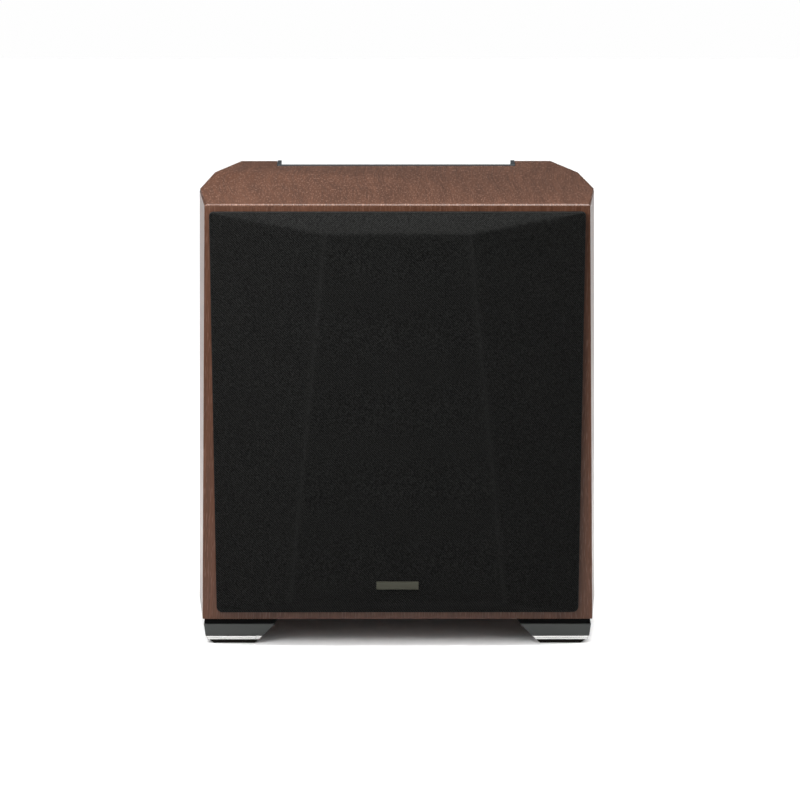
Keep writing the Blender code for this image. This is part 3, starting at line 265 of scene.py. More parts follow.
class Finish:
    """A material's node tree, with short calls for the nodes used here."""

    def __init__(self, name, **sockets):
        self.material = bpy.data.materials.new(name)
        self.material.use_nodes = True
        self.tree = self.material.node_tree
        self.shader = self.tree.nodes["Principled BSDF"]
        self.place = self.add("TexCoord").outputs["Object"]
        for socket, value in sockets.items():
            self.shader.inputs[socket.replace("_", " ")].default_value = value

    def add(self, kind, inputs=None, **settings):
        node = self.tree.nodes.new("ShaderNode" + kind)
        for key, value in settings.items():
            setattr(node, key, value)
        for key, value in (inputs or {}).items():
            self.feed(node.inputs[key], value)
        return node

    def feed(self, socket, value):
        if isinstance(value, bpy.types.NodeSocket):
            self.tree.links.new(value, socket)
        else:
            socket.default_value = value

    def paint(self, socket, value):
        self.feed(self.shader.inputs[socket], value)

    def math(self, operation, a, b=0.0):
        return self.add("Math", {0: a, 1: b}, operation=operation).outputs[0]

    def plus(self, a, b):
        return self.math("ADD", a, b)

    def times(self, a, b):
        return self.math("MULTIPLY", a, b)

    def axes(self):
        return self.add("SeparateXYZ", {0: self.place}).outputs

    def noise_at(self, x, y, scale, detail=2.0):
        spot = self.add("CombineXYZ", {0: x, 1: y}).outputs[0]
        return self.add("TexNoise", {"Vector": spot, "Scale": scale, "Detail": detail}).outputs["Fac"]

    def noise(self, scale, stretch=(1.0, 1.0, 1.0), detail=2.0):
        spot = self.add("Mapping", {"Vector": self.place, "Scale": stretch}).outputs[0]
        return self.add("TexNoise", {"Vector": spot, "Scale": scale, "Detail": detail}).outputs["Fac"]

    def ripple(self, length, pitch):
        """A wave from 0 to 1 with a pitch in metres."""
        turns = self.times(length, 2 * math.pi / pitch)
        return self.spread(self.math("SINE", turns), (-1.0, 1.0))

    def spread(self, value, before, after=(0.0, 1.0)):
        """Maps one range to another and stops at its ends."""
        inputs = {0: value, 1: before[0], 2: before[1], 3: after[0], 4: after[1]}
        return self.add("MapRange", inputs, clamp=True).outputs[0]

    def ramp(self, value, *stops):
        node = self.add("ValToRGB", {0: value})
        elements = node.color_ramp.elements
        while len(elements) < len(stops):
            elements.new(0.5)
        for element, (position, colour) in zip(elements, stops):
            element.position = position
            element.color = (*colour, 1.0)
        return node.outputs[0]

    def mix(self, share, a, b, blend="MIX"):
        node = self.add("Mix", data_type="RGBA", blend_type=blend)
        self.feed(node.inputs[0], share)
        for socket, value in ((node.inputs[6], a), (node.inputs[7], b)):
            self.feed(socket, (*value, 1.0) if isinstance(value, tuple) else value)
        return node.outputs[2]

    def shade(self, colour, value, low, high):
        """Darkens or lightens a colour, which may be a tuple, between two factors."""
        factor = self.spread(value, (0.0, 1.0), (low, high))
        grey = self.add("CombineColor", {0: factor, 1: factor, 2: factor}).outputs[0]
        return self.mix(1.0, colour, grey, "MULTIPLY")

    def bump(self, height, distance):
        node = self.add("Bump", {"Height": height, "Distance": distance})
        self.paint("Normal", node.outputs[0])


def veneer(name, along, index, fleck):
    """Satin walnut veneer, its grain along one axis: bent figure, fibres, open pores and pale flecks."""
    finish = Finish(name, IOR=index)
    x, y, z = finish.axes()
    across, length = (x, y) if along == "Y" else (finish.plus(x, y), z)
    bend = finish.spread(finish.noise(2.4, detail=0.0), (0.3, 0.7), (-GRAIN_BEND, GRAIN_BEND))
    across = finish.plus(across, bend)

    def grain(scale, share, detail=2.0):
        return finish.noise_at(across, finish.times(length, share), scale, detail)

    fibres = grain(420.0, 0.020)
    pores = finish.spread(grain(900.0, 0.03, 1.0), (0.62, 0.72))
    flecks = finish.spread(grain(800.0, 0.08, 1.0), (0.56, 0.66))
    rings = finish.times(finish.ripple(across, RING_PITCH), 0.05)
    figure = finish.plus(rings, finish.times(grain(60.0, 0.05), 0.45))
    tone = finish.plus(figure, finish.times(fibres, 0.55))
    dark, middle, pale = (0.098, 0.036, 0.017), (0.132, 0.050, 0.024), (0.172, 0.068, 0.035)
    fleck_tint, pore_tint = (0.320, 0.165, 0.112), (0.060, 0.024, 0.014)
    colour = finish.ramp(tone, (0.34, dark), (0.50, middle), (0.68, pale))
    colour = finish.mix(finish.times(flecks, fleck), colour, fleck_tint)
    colour = finish.mix(finish.times(pores, 0.25), colour, pore_tint)
    finish.paint("Base Color", colour)
    finish.paint("Roughness", finish.spread(fibres, (0.3, 0.7), (0.28, 0.36)))
    finish.bump(finish.math("SUBTRACT", finish.times(fibres, 0.4), pores), PORE_DEPTH)
    return finish.material


def board():
    finish = Finish("bare_board", Roughness=0.8)
    speckle = finish.noise(900.0, detail=3.0)
    colour = finish.ramp(speckle, (0.3, (0.30, 0.20, 0.12)), (0.7, (0.48, 0.36, 0.24)))
    finish.paint("Base Color", finish.shade(colour, finish.noise(14.0), 0.8, 1.1))
    finish.bump(speckle, 0.0001)
    return finish.material


def cloth():
    """Black stretched twill with fuzzy yarns, with a painted highlight: a paler colour along the ridges and
    round the rim.
    """
    fuzzy = {"Sheen_Weight": 0.05, "Sheen_Roughness": 0.5}
    finish = Finish("grille_fabric", Roughness=0.6, Specular_IOR_Level=0.035, **fuzzy)
    weft, y, z = finish.axes()
    warp = finish.plus(z, finish.times(y, WARP_LEAN))
    slack = finish.times(finish.noise(140.0, detail=1.0), TWILL_PITCH / 2)
    twill = finish.ripple(finish.plus(finish.plus(weft, warp), slack), TWILL_PITCH)
    weft_yarns = finish.ripple(weft, TWILL_PITCH / 2)
    warp_yarns = finish.ripple(warp, TWILL_PITCH / 2)
    yarns = finish.times(weft_yarns, warp_yarns)
    fuzz = finish.noise(620.0, detail=2.0)
    height = finish.plus(finish.times(twill, 0.75), finish.times(yarns, 0.25))
    weave = finish.plus(finish.times(height, 0.48), finish.times(fuzz, 0.85))
    colour = finish.ramp(weave, (0.46, (0.0003, 0.0003, 0.0003)), (0.90, (0.0290, 0.0295, 0.0280)))
    colour = finish.shade(colour, finish.noise(26.0, detail=3.0), 0.85, 1.15)
    # painted highlight: the colour is made paler where the attribute marks the ridges and the rim's
    # rounding
    painted_ridge_highlight = finish.add("Attribute", attribute_name="painted_ridge_highlight").outputs["Fac"]
    colour = finish.mix(finish.times(painted_ridge_highlight, 0.30), colour, (0.034, 0.034, 0.033))
    finish.paint("Base Color", colour)
    finish.bump(finish.plus(height, finish.times(fuzz, 0.5)), 0.0002)
    return finish.material


def perforated_plastic():
    """Black moulding with a grid of small sound holes, not cut but painted as dark pits: painted shade in
    the holes.
    """
    finish = Finish("grille_plastic", Roughness=0.6)
    x, _, z = finish.axes()
    holes = finish.times(*(finish.ripple(axis, SOUND_HOLE_PITCH) for axis in (x, z)))
    shaded_pits = finish.spread(holes, (0.45, 0.6))
    # painted shade: near-black where each sound hole is
    finish.paint("Base Color", finish.mix(shaded_pits, (0.020, 0.020, 0.021), (0.002, 0.002, 0.002)))
    finish.bump(finish.math("SUBTRACT", finish.times(finish.noise(700.0), 0.05), shaded_pits), 0.0008)
    return finish.material


def textured(name, colour, roughness, metallic, grain, depth, mottle=0.15, gloss=0.5):
    """A moulded, cast or powder-coated surface: fine even texture with slightly uneven colour and gloss."""
    finish = Finish(name, Metallic=metallic, Specular_IOR_Level=gloss)
    fine = finish.noise(grain, detail=2.0)
    broad = finish.noise(18.0, detail=3.0)
    finish.paint("Base Color", finish.shade(colour, broad, 1 - mottle, 1 + mottle))
    finish.paint("Roughness", finish.spread(fine, (0.3, 0.7), (roughness - 0.06, roughness + 0.06)))
    finish.bump(fine, depth)
    return finish.material


def brushed(name, colour, roughness, stretch):
    """Metal drawn or rolled along the axis that stretch shrinks."""
    finish = Finish(name, Metallic=1.0)
    lines = finish.noise(2400.0, stretch, 2.0)
    broad = finish.noise(30.0, detail=2.0)
    finish.paint("Base Color", finish.shade(colour, lines, 0.8, 1.15))
    finish.paint("Roughness", finish.spread(broad, (0.3, 0.7), (roughness - 0.04, roughness + 0.06)))
    finish.bump(lines, 0.00001)
    return finish.material


def turned_metal(name, colour, roughness):
    """Metal turned or spun about the driver's axis, with fine circular lines."""
    finish = Finish(name, Metallic=1.0)
    x, y, z = finish.axes()
    rise = finish.math("SUBTRACT", z, DRIVER_CENTRE.z)
    squares = finish.plus(finish.times(x, x), finish.times(rise, rise))
    lines = finish.noise_at(finish.math("SQRT", squares), y, 1800.0)
    finish.paint("Base Color", finish.shade(colour, lines, 0.82, 1.12))
    finish.paint("Roughness", finish.spread(lines, (0.3, 0.7), (roughness - 0.05, roughness + 0.07)))
    finish.bump(lines, 0.000012)
    return finish.material


def wound_copper():
    """Enamelled wire in close turns, with painted shade darkening the grooves between the turns."""
    finish = Finish("copper_wire", Metallic=1.0, Roughness=0.34)
    sway = finish.times(finish.noise(40.0), WIRE_SWAY)
    turns = finish.ripple(finish.plus(finish.axes()["Y"], sway), WIRE_PITCH)
    # painted shade: the colour darkens in the groove between one turn and the next
    colour = finish.ramp(turns, (0.0, (0.22, 0.07, 0.03)), (0.7, (0.66, 0.27, 0.13)))
    finish.paint("Base Color", finish.shade(colour, finish.noise(200.0), 0.85, 1.1))
    finish.bump(turns, 0.00012)
    return finish.material


def resin_weave():
    """Coarse cotton stiffened with amber resin."""
    finish = Finish("resin_cloth", Roughness=0.75)
    x, _, z = finish.axes()
    weave = finish.times(*(finish.ripple(axis, 0.0008) for axis in (x, z)))
    colour = finish.ramp(weave, (0.1, (0.14, 0.075, 0.022)), (0.9, (0.40, 0.26, 0.11)))
    finish.paint("Base Color", finish.shade(colour, finish.noise(60.0, detail=3.0), 0.8, 1.15))
    finish.bump(weave, 0.00015)
    return finish.material


def circuit_board():
    """Green solder mask over copper tracks."""
    finish = Finish("circuit_green", Roughness=0.35)
    swerve = finish.times(finish.noise(55.0, detail=0.0), 0.030)
    tracks = finish.ripple(finish.plus(finish.axes()["Z"], swerve), 0.0022)
    copper = finish.spread(tracks, (0.62, 0.70))
    colour = finish.mix(copper, (0.008, 0.070, 0.028), (0.022, 0.150, 0.060))
    finish.paint("Base Color", finish.shade(colour, finish.noise(300.0), 0.85, 1.1))
    finish.bump(copper, 0.00004)
    return finish.material


FINISHES = {
    "walnut_veneer": veneer("walnut_veneer", "Z", 1.36, 0.35),
    "bare_board": board(),
    "grille_fabric": cloth(),
    "grille_plastic": perforated_plastic(),
    "badge_metal": brushed("badge_metal", (0.042, 0.042, 0.033), 0.40, (0.02, 1.0, 1.0)),
    "magnet_plate": brushed("magnet_plate", (0.42, 0.42, 0.43), 0.30, (1.0, 1.0, 0.1)),
    "cast_metal": textured("cast_metal", (0.045, 0.046, 0.050), 0.52, 0.6, 900.0, 0.00012),
    "ferrite": textured("ferrite", (0.035, 0.035, 0.037), 0.72, 0.0, 1600.0, 0.00008),
    "plain_steel": turned_metal("plain_steel", (0.46, 0.47, 0.47), 0.34),
    "cone_metal": turned_metal("cone_metal", (0.060, 0.061, 0.066), 0.36),
    "soft_rubber": textured("soft_rubber", (0.016, 0.014, 0.012), 0.78, 0.0, 1300.0, 0.00006, gloss=0.1),
    "resin_cloth": resin_weave(),
    "copper_wire": wound_copper(),
    "slate_metal": textured("slate_metal", (0.060, 0.070, 0.078), 0.48, 0.4, 1400.0, 0.00006, 0.08),
    "black_plastic": textured("black_plastic", (0.013, 0.013, 0.014), 0.48, 0.0, 1800.0, 0.00004),
    "circuit_green": circuit_board(),
    "foot_grey": textured("foot_grey", (0.042, 0.045, 0.043), 0.42, 0.4, 2200.0, 0.00001, 0.06),
    "bright_trim": brushed("bright_trim", (0.48, 0.48, 0.47), 0.22, (0.02, 1.0, 1.0)),
}
TOP_VENEER = veneer("walnut_veneer_top", "Y", 1.46, 0.90)
MARK_WHITE = textured("mark_white", (0.62, 0.62, 0.60), 0.55, 0.0, 1500.0, 0.00002)
PORT_RED = textured("port_red", (0.42, 0.015, 0.012), 0.42, 0.0, 1500.0, 0.00002)
NICKEL = brushed("contact_nickel", (0.62, 0.60, 0.56), 0.24, (1.0, 0.05, 1.0))
# the spacer is black, and its near-black colour also carries painted shade of the recess under the cabinet
SPACER_BLACK_AND_SHADE = textured("spacer_black_and_painted_shade", (0.004, 0.004, 0.004), 0.7, 0.0, 1500.0, 0.00001, gloss=0.05)


# Mesh helpers


def piece(name, shape, slot, body="cabinet", replaces=(), finish=None, crease=CREASE_DEGREES):
    """An object made of a bmesh in frame coordinates. It rides on a body and may stand for CAD nodes."""
    mesh = bpy.data.meshes.new(name)
    shape.to_mesh(mesh)
    shape.free()
    mesh.materials.append(finish or FINISHES[slot])
    mesh.shade_smooth()
    mesh.set_sharp_from_angle(angle=math.radians(crease))
    made = bpy.data.objects.new(name, mesh)
    bpy.context.scene.collection.objects.link(made)
    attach(made, body)
    if replaces:
        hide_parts(*replaces)
    return made


def closed(shape):
    bmesh.ops.recalc_face_normals(shape, faces=shape.faces)
    return shape


def thicken(made, thickness, offset):
    step = made.modifiers.new("Thickness", "SOLIDIFY")
    step.thickness = thickness
    step.offset = offset
    step.use_even_offset = True


def round_edges(made, width, segments=2):
    step = made.modifiers.new("Rounded edges", "BEVEL")
    step.width = width
    step.segments = segments
    step.limit_method = "ANGLE"
    step.angle_limit = math.radians(CREASE_DEGREES)
    step.harden_normals = True


def welded(node):
    """A CAD node's mesh with its split corners joined and its flat faces whole again."""
    shape = bmesh.new()
    shape.from_mesh(NODES[node].data)
    for layers in (shape.loops.layers.float_vector, shape.loops.layers.uv):
        for layer in layers.values():
            layers.remove(layer)
    bmesh.ops.remove_doubles(shape, verts=shape.verts, dist=WELD)
    bmesh.ops.dissolve_limit(shape, angle_limit=FLAT_ANGLE, verts=shape.verts, edges=shape.edges)
    for face in shape.faces:
        face.material_index = 0
    return shape


def refine(node, slot, width, segments=2):
    """Stands in for a CAD node of the same shape, with its edges rounded over."""
    made = piece(f"{node}_finished", closed(welded(node)), slot, NODES[node]["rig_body"], [node])
    round_edges(made, width, segments)
    return made


def repaint(made, finish, wanted):
    """Gives a second finish to the faces whose centres pass a test."""
    made.data.materials.append(finish)
    for face in made.data.polygons:
        if wanted(face.center):
            face.material_index = len(made.data.materials) - 1


def block(low, high):
    shape = bmesh.new()
    size = Vector(high) - Vector(low)
    middle = (Vector(high) + Vector(low)) / 2
    place = Matrix.Translation(middle) @ Matrix.Diagonal((*size, 1.0))
    bmesh.ops.create_cube(shape, size=1.0, matrix=place)
    return closed(shape)


def lofted(rings):
    """A closed body through rings of alike corners, with a cap at each end."""
    shape = bmesh.new()
    rows = [[shape.verts.new(corner) for corner in ring] for ring in rings]
    for a, b in zip(rows, rows[1:]):
        for i, _ in enumerate(a):
            after = (i + 1) % len(a)
            shape.faces.new((a[i], a[after], b[after], b[i]))
    shape.faces.new(rows[0])
    shape.faces.new(rows[-1])
    return closed(shape)


def spun(profile, centre, sides=FINE_SIDES):
    """(radius, depth) points turned about a line along Y; a third value scales the radius by the angle."""
    shape = bmesh.new()
    rings = []
    for radius, depth, *form in profile:
        turns = [2 * math.pi * i / sides for i in range(sides if radius else 1)]
        reaches = [radius * (form[0](turn) if form else 1.0) for turn in turns]
        spots = [(r * math.cos(t), depth, r * math.sin(t)) for r, t in zip(reaches, turns)]
        rings.append([shape.verts.new(centre + Vector(spot)) for spot in spots])
    on_axis = not profile[0][0] and not profile[-1][0]
    for a, b in zip(rings, rings[1:] if on_axis else rings[1:] + rings[:1]):
        for i in range(sides):
            after = i + 1
            corners = [a[i % len(a)], a[after % len(a)], b[after % len(b)], b[i % len(b)]]
            corners = list(dict.fromkeys(corners))
            if len(corners) > 2:
                shape.faces.new(corners)
    return closed(shape)


def rounded_ring(inner, outer, start, end, radius):
    """Profile of a ring whose four corners are rounded over in a few steps."""
    corners = [(inner, start, 1, 1), (outer, start, -1, 1), (outer, end, -1, -1), (inner, end, 1, -1)]
    profile = []
    for index, (r, depth, out, down) in enumerate(corners):
        turns = [math.pi / 2 * i / ROUND_STEPS for i in range(ROUND_STEPS + 1)]
        if index % 2 == 0:
            turns.reverse()
        for t in turns:
            across, along = radius * (1 - math.sin(t)), radius * (1 - math.cos(t))
            profile.append((r + out * across, depth + down * along))
    return profile


def joined(*shapes):
    """Several closed bodies in one bmesh."""
    whole = shapes[0]
    for extra in shapes[1:]:
        mesh = bpy.data.meshes.new("scratch")
        extra.to_mesh(mesh)
        extra.free()
        whole.from_mesh(mesh)
        bpy.data.meshes.remove(mesh)
    return whole


def centre_of(node):
    low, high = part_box(node)
    return (low + high) / 2


def around(radius, count, first=0.0):
    """Offsets in the front's plane, evenly spaced on a circle."""
    turns = [first + 2 * math.pi * i / count for i in range(count)]
    return [Vector((radius * math.cos(t), 0.0, radius * math.sin(t))) for t in turns]


# Cabinet


def heights(made):
    """The heights at which an object has corners, low to high."""
    return sorted({round(vertex.co.z, PLACES) for vertex in made.data.vertices})


def outer_corners(node, z):
    """A panel's right-hand outer corners at a height, front to back, leaving out the channel's notch."""
    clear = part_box("amp_chassis")[1].x + NOTCH_CLEARANCE
    level = [v.co for v in NODES[node].data.vertices if abs(v.co.z - z) < GAP / 2 and v.co.x > clear]
    corners = {(round(p.x, PLACES), round(p.y, PLACES)) for p in level}
    return [Vector((x, y, z)) for x, y in sorted(corners, key=lambda corner: corner[1])]


def fill_front(shape, outline):
    """Closes the veneer's front between its outline and the driver's hole."""
    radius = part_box("basket")[1].x + GAP
    centre = Vector((0.0, FRONT_Y, DRIVER_CENTRE.z))
    hole = [shape.verts.new(centre + spot) for spot in around(radius, HOLE_SIDES)]
    edges = []
    for loop in (outline, hole):
        for a, b in zip(loop, loop[1:] + loop[:1]):
            edges.append(shape.edges.get((a, b)) or shape.edges.new((a, b)))
    bmesh.ops.triangle_fill(shape, use_beauty=True, edges=edges)


def make_wrap():
    """One veneer skin over the back strips, the faceted sides and the front, with the driver's hole."""
    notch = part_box("amp_chassis")[1].x + GAP
    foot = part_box("bottom_panel")[0].z
    chamfer_foot = heights(NODES["top_panel"])[-2]
    shape = bmesh.new()

    def path(node, z):
        right = outer_corners(node, z) + [Vector((notch, BACK_Y, z))]
        left = [Vector((-p.x, p.y, p.z)) for p in reversed(right)]
        return left + right

    low, high = path("bottom_panel", foot), path("top_panel", chamfer_foot)
    shares = [i / WRAP_ROWS for i in range(WRAP_ROWS + 1)]
    columns = [[shape.verts.new(a.lerp(b, share)) for share in shares] for a, b in zip(low, high)]
    front = len(columns) // 2 - 1
    for index, (a, b) in enumerate(zip(columns, columns[1:])):
        if index != front:
            for i in range(WRAP_ROWS):
                shape.faces.new((a[i], b[i], b[i + 1], a[i + 1]))
    fill_front(shape, columns[front] + list(reversed(columns[front + 1])))
    for face in shape.faces:
        if face.normal.xy.dot(face.calc_center_median().xy) < 0:
            face.normal_flip()
    made = piece("veneer_wrap", shape, "walnut_veneer", crease=FACET_CREASE_DEGREES)
    thicken(made, SKIN, 1.0)
    round_edges(made, SKIN)


def make_top_skin():
    """Veneer over the top and its chamfered edge, with the grain running front to back."""
    shape = welded("top_panel")
    hidden = [face for face in shape.faces if face.normal.z < TOP_FACE_RISE]
    bmesh.ops.delete(shape, geom=hidden, context="FACES")
    made = piece("veneer_top", shape, "walnut_veneer", finish=TOP_VENEER, crease=FACET_CREASE_DEGREES)
    thicken(made, SKIN, 1.0)
    round_edges(made, SKIN / 2)


# Grille


def plane_through(a, b, c):
    """How far a plane through three points stands in front of the baffle, as a function of x and z."""
    normal = (b - a).cross(c - a)

    def proud(x, z):
        y = a.y - ((x - a.x) * normal.x + (z - a.z) * normal.z) / normal.y
        return FRONT_Y - y

    return proud


class GrilleShape:
    """The cloth's facets and outline, read from the CAD cloth."""

    def __init__(self):
        points = [v.co.copy() for v in NODES["grille_cloth"].data.vertices]
        self.low, self.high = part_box("grille_cloth")
        middle = (self.low.z + self.high.z) / 2

        def foremost(side, up):
            quarter = [p for p in points if p.x * side > 0 and (p.z - middle) * up > 0]
            return min(quarter, key=lambda p: p.y)

        def widest(z0, z1):
            band = [p for p in points if z0 <= p.z <= z1]
            reach = max(p.x for p in band)
            return min((p for p in band if p.x > reach - WELD), key=lambda p: p.y)

        self.shoulder = widest(middle, self.high.z)
        self.hip = widest(self.low.z, self.low.z + 0.01)
        top_left, top_right = foremost(-1, 1), foremost(1, 1)
        foot_left, foot_right = foremost(-1, -1), foremost(1, -1)
        rim_y = self.shoulder.y
        mirror = Vector((-self.shoulder.x, rim_y, self.shoulder.z))
        self.planes = [
            plane_through(top_left, top_right, foot_right),
            plane_through(top_left, top_right, Vector((0.0, rim_y, self.high.z))),
            plane_through(foot_left, foot_right, Vector((0.0, rim_y, self.low.z))),
            plane_through(top_right, foot_right, self.shoulder),
            plane_through(top_left, foot_left, mirror),
        ]

    def proud(self, x, z):
        """The facets' height with the ridges rounded, and how close the spot is to a ridge."""
        heights = [plane(x, z) for plane in self.planes]
        least = min(heights)
        total = sum(math.exp((least - height) / RIDGE_SOFTNESS) for height in heights)
        return least - RIDGE_SOFTNESS * math.log(total), min(1.0, total - 1.0)

    def rows(self):
        """(height, half width, outward angle) of the outline set in by the rim's rounding, floor to top."""
        floor_radius = self.hip.z - self.low.z
        top_radius = self.high.z - self.shoulder.z
        floor_reach, top_reach = floor_radius - RIM_ROUND, top_radius - RIM_ROUND
        turns = [math.pi / 2 * i / CORNER_STEPS for i in range(CORNER_STEPS + 1)]
        rows = []
        for t in turns:
            x = self.hip.x - floor_radius + floor_reach * math.sin(t)
            rows.append((self.hip.z - floor_reach * math.cos(t), x, t - math.pi / 2))
        count = round((self.shoulder.z - self.hip.z) / CLOTH_CELL)
        for i in range(1, count):
            share = i / count
            x = self.hip.x + (self.shoulder.x - self.hip.x) * share - RIM_ROUND
            rows.append((self.hip.z + (self.shoulder.z - self.hip.z) * share, x, 0.0))
        for t in turns:
            x = self.shoulder.x - top_radius + top_reach * math.cos(t)
            rows.append((self.shoulder.z + top_reach * math.sin(t), x, t))
        return rows


def cloth_edge(grid, angles):
    """The grid's outline, once round, as corners with the angle at which each faces outward."""
    edge = [(vertex, -math.pi / 2) for vertex in grid[0]]
    edge += [(row[-1], angle) for row, angle in zip(grid[1:], angles[1:])]
    edge += [(vertex, math.pi / 2) for vertex in reversed(grid[-1][:-1])]
    edge += [(row[0], math.pi - angle) for row, angle in list(zip(grid, angles))[-2:0:-1]]
    return edge


def turn_back(shape, painted_ridge_highlight, edge, back):
    """Turns the cloth's edge round the rim and takes it straight back to a depth."""
    outward = [Vector((math.cos(angle), 0.0, math.sin(angle))) for _, angle in edge]
    loops = [[vertex for vertex, _ in edge]]
    for step in range(1, RIM_STEPS + 1):
        turn = math.pi / 2 * step / RIM_STEPS
        drop = Vector((0.0, RIM_ROUND * (1 - math.cos(turn)), 0.0))
        loop = [
            shape.verts.new(vertex.co + drop + out * RIM_ROUND * math.sin(turn))
            for vertex, out in zip(loops[0], outward)
        ]
        for vertex in loop:
            # painted highlight across the rim's rounding, strongest half way round
            vertex[painted_ridge_highlight] = math.sin(2 * turn)
        loops.append(loop)
    loops.append([shape.verts.new((v.co.x, back, v.co.z)) for v in loops[-1]])
    for near, far in zip(loops, loops[1:]):
        for i, _ in enumerate(near):
            after = (i + 1) % len(near)
            shape.faces.new((near[i], far[i], far[after], near[after]))


def make_cloth():
    """Stretched cloth as a fine grid over the facets, turned round the rim and back to the baffle."""
    form = GrilleShape()
    rows = form.rows()
    count = 2 * round(form.shoulder.x / CLOTH_CELL)
    shape = bmesh.new()
    # strength of the painted ridge highlight at each corner of the cloth
    painted_ridge_highlight = shape.verts.layers.float.new("painted_ridge_highlight")

    def spot(x, z):
        height, closeness = form.proud(x, z)
        vertex = shape.verts.new((x, FRONT_Y - height, z))
        # painted highlight: full on a ridge, none in the middle of a facet
        vertex[painted_ridge_highlight] = closeness
        return vertex

    grid = [[spot(half * (2 * i / count - 1), z) for i in range(count + 1)] for z, half, _ in rows]
    for low, high in zip(grid, grid[1:]):
        for i in range(count):
            shape.faces.new((low[i], low[i + 1], high[i + 1], high[i]))
    turn_back(shape, painted_ridge_highlight, cloth_edge(grid, [angle for _, _, angle in rows]), form.high.y)
    made = piece("grille_cloth_stretched", shape, "grille_fabric", "grille", ["grille_cloth"], crease=180)
    thicken(made, CLOTH_THICK, -1.0)


def make_badge():
    """Blank plate with a thin raised border."""
    shape = closed(welded("badge"))
    face = min(shape.faces, key=lambda f: f.normal.y)
    bmesh.ops.inset_region(shape, faces=[face], thickness=BADGE_BORDER, depth=0.0)
    bmesh.ops.inset_region(shape, faces=[face], thickness=BADGE_BORDER / 4, depth=-BADGE_RECESS)
    made = piece("badge_plate", shape, "badge_metal", "grille", ["badge"])
    round_edges(made, BADGE_BORDER / 5)


def make_grille():
    refine("grille_frame", "grille_plastic", FINE_EDGE)
    make_cloth()
    make_badge()
    for row in ("lower", "upper"):
        for side in ("left", "right"):
            node = f"grille_magnet_{row}_{side}"
            low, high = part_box(node)
            centre = centre_of(node)
            centre.y = low.y
            radius, thick = (high.x - low.x) / 2, high.y - low.y
            profile = [
                (0.0, 0.0),
                (radius, 0.0),
                (radius, thick - MAGNET_EDGE),
                (radius - MAGNET_EDGE, thick),
                (0.0, thick),
            ]
            piece(f"{node}_disc", spun(profile, centre, SMALL_SIDES), "magnet_plate", "grille", [node])


# Driver


def on_driver(profile, name, slot, body="cabinet", replaces=()):
    return piece(name, spun(profile, DRIVER_CENTRE), slot, body, replaces)


def spoke(offset, depth):
    """A spoke that is narrower outside, from the flange back to the shelf in one direction."""
    across = Vector((-offset.z, 0.0, offset.x)) * SPOKE_WIDTH / 2
    narrow = across * SPOKE_TAPER
    front = (FLANGE_INNER + SPOKE_SINK, FLANGE_THICK / 2)
    back = (SHELF_RADIUS - SPOKE_SINK, depth - SPOKE_SINK)
    rings = []
    for radius, at in (front, back):
        inner = DRIVER_CENTRE + offset * radius + Vector((0.0, at, 0.0))
        outer = inner + offset * SPOKE_THICK
        rings.append((inner - across, inner + across, outer + narrow, outer - narrow))
    return lofted(rings)


def make_basket():
    """Cast basket: flange, six spokes and the shelf that holds the motor."""
    low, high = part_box("basket")
    depth = high.y - low.y
    flange = spun(rounded_ring(FLANGE_INNER, high.x, 0.0, FLANGE_THICK, FLANGE_ROUND), DRIVER_CENTRE)
    shelf = rounded_ring(SHELF_INNER, SHELF_RADIUS, SHELF_DEPTH, depth, FLANGE_ROUND)
    spokes = [spoke(offset, depth) for offset in around(1.0, SPOKES, -math.pi / 2)]
    whole = joined(flange, spun(shelf, DRIVER_CENTRE), *spokes)
    piece("basket_casting", whole, "cast_metal", "cabinet", ["basket"])


def bend_by_radius(made):
    """Bakes a ring's placement into its mesh."""
    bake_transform(made)


def unparented(made):
    """Takes a piece off its body."""
    made.parent = None
    del made["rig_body"]
    return made


def make_surround():
    """Half-roll between the flange and the cone, with a flat lip on each side."""
    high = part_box("surround")[1]
    base = high.y - DRIVER_CENTRE.y
    lip = base - ROLL_THICK * ROLL_EDGE_SHARE
    turns = [math.pi * i / ROLL_STEPS for i in range(ROLL_STEPS + 1)]

    def roll(radius, rise):
        return [(ROLL_MIDDLE + radius * math.cos(t), base - rise - radius * math.sin(t)) for t in turns]

    front = [(high.x, base), (high.x, lip), (high.x - ROLL_EDGE, base - ROLL_THICK)]
    front += roll(ROLL_RADIUS, ROLL_THICK)
    front += [(CONE_LIP + ROLL_EDGE, base - ROLL_THICK), (CONE_LIP, lip), (CONE_LIP, base)]
    back = list(reversed(roll(ROLL_RADIUS - ROLL_THICK, 0.0)))
    made = on_driver(front + back, "surround_roll", "soft_rubber", replaces=["surround"])
    bend_by_radius(unparented(made))


def cone_depth(radius):
    """How deep the slightly flared cone is at a radius."""
    share = (CONE_LIP - radius) / (CONE_LIP - CONE_NECK)
    return CONE_DEEP * (CONE_STRAIGHTNESS * share + (1 - CONE_STRAIGHTNESS) * share * share)


def make_cone():
    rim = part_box("cone")[1].x
    radii = [CONE_LIP + (CONE_NECK - CONE_LIP) * i / CONE_STEPS for i in range(CONE_STEPS + 1)]
    front = [(rim, 0.0)] + [(r, cone_depth(r)) for r in radii]
    back = [(r, depth + CONE_THICK) for r, depth in reversed(front)]
    on_driver(front + back, "cone_body", "cone_metal", "cone_unit", ["cone"])


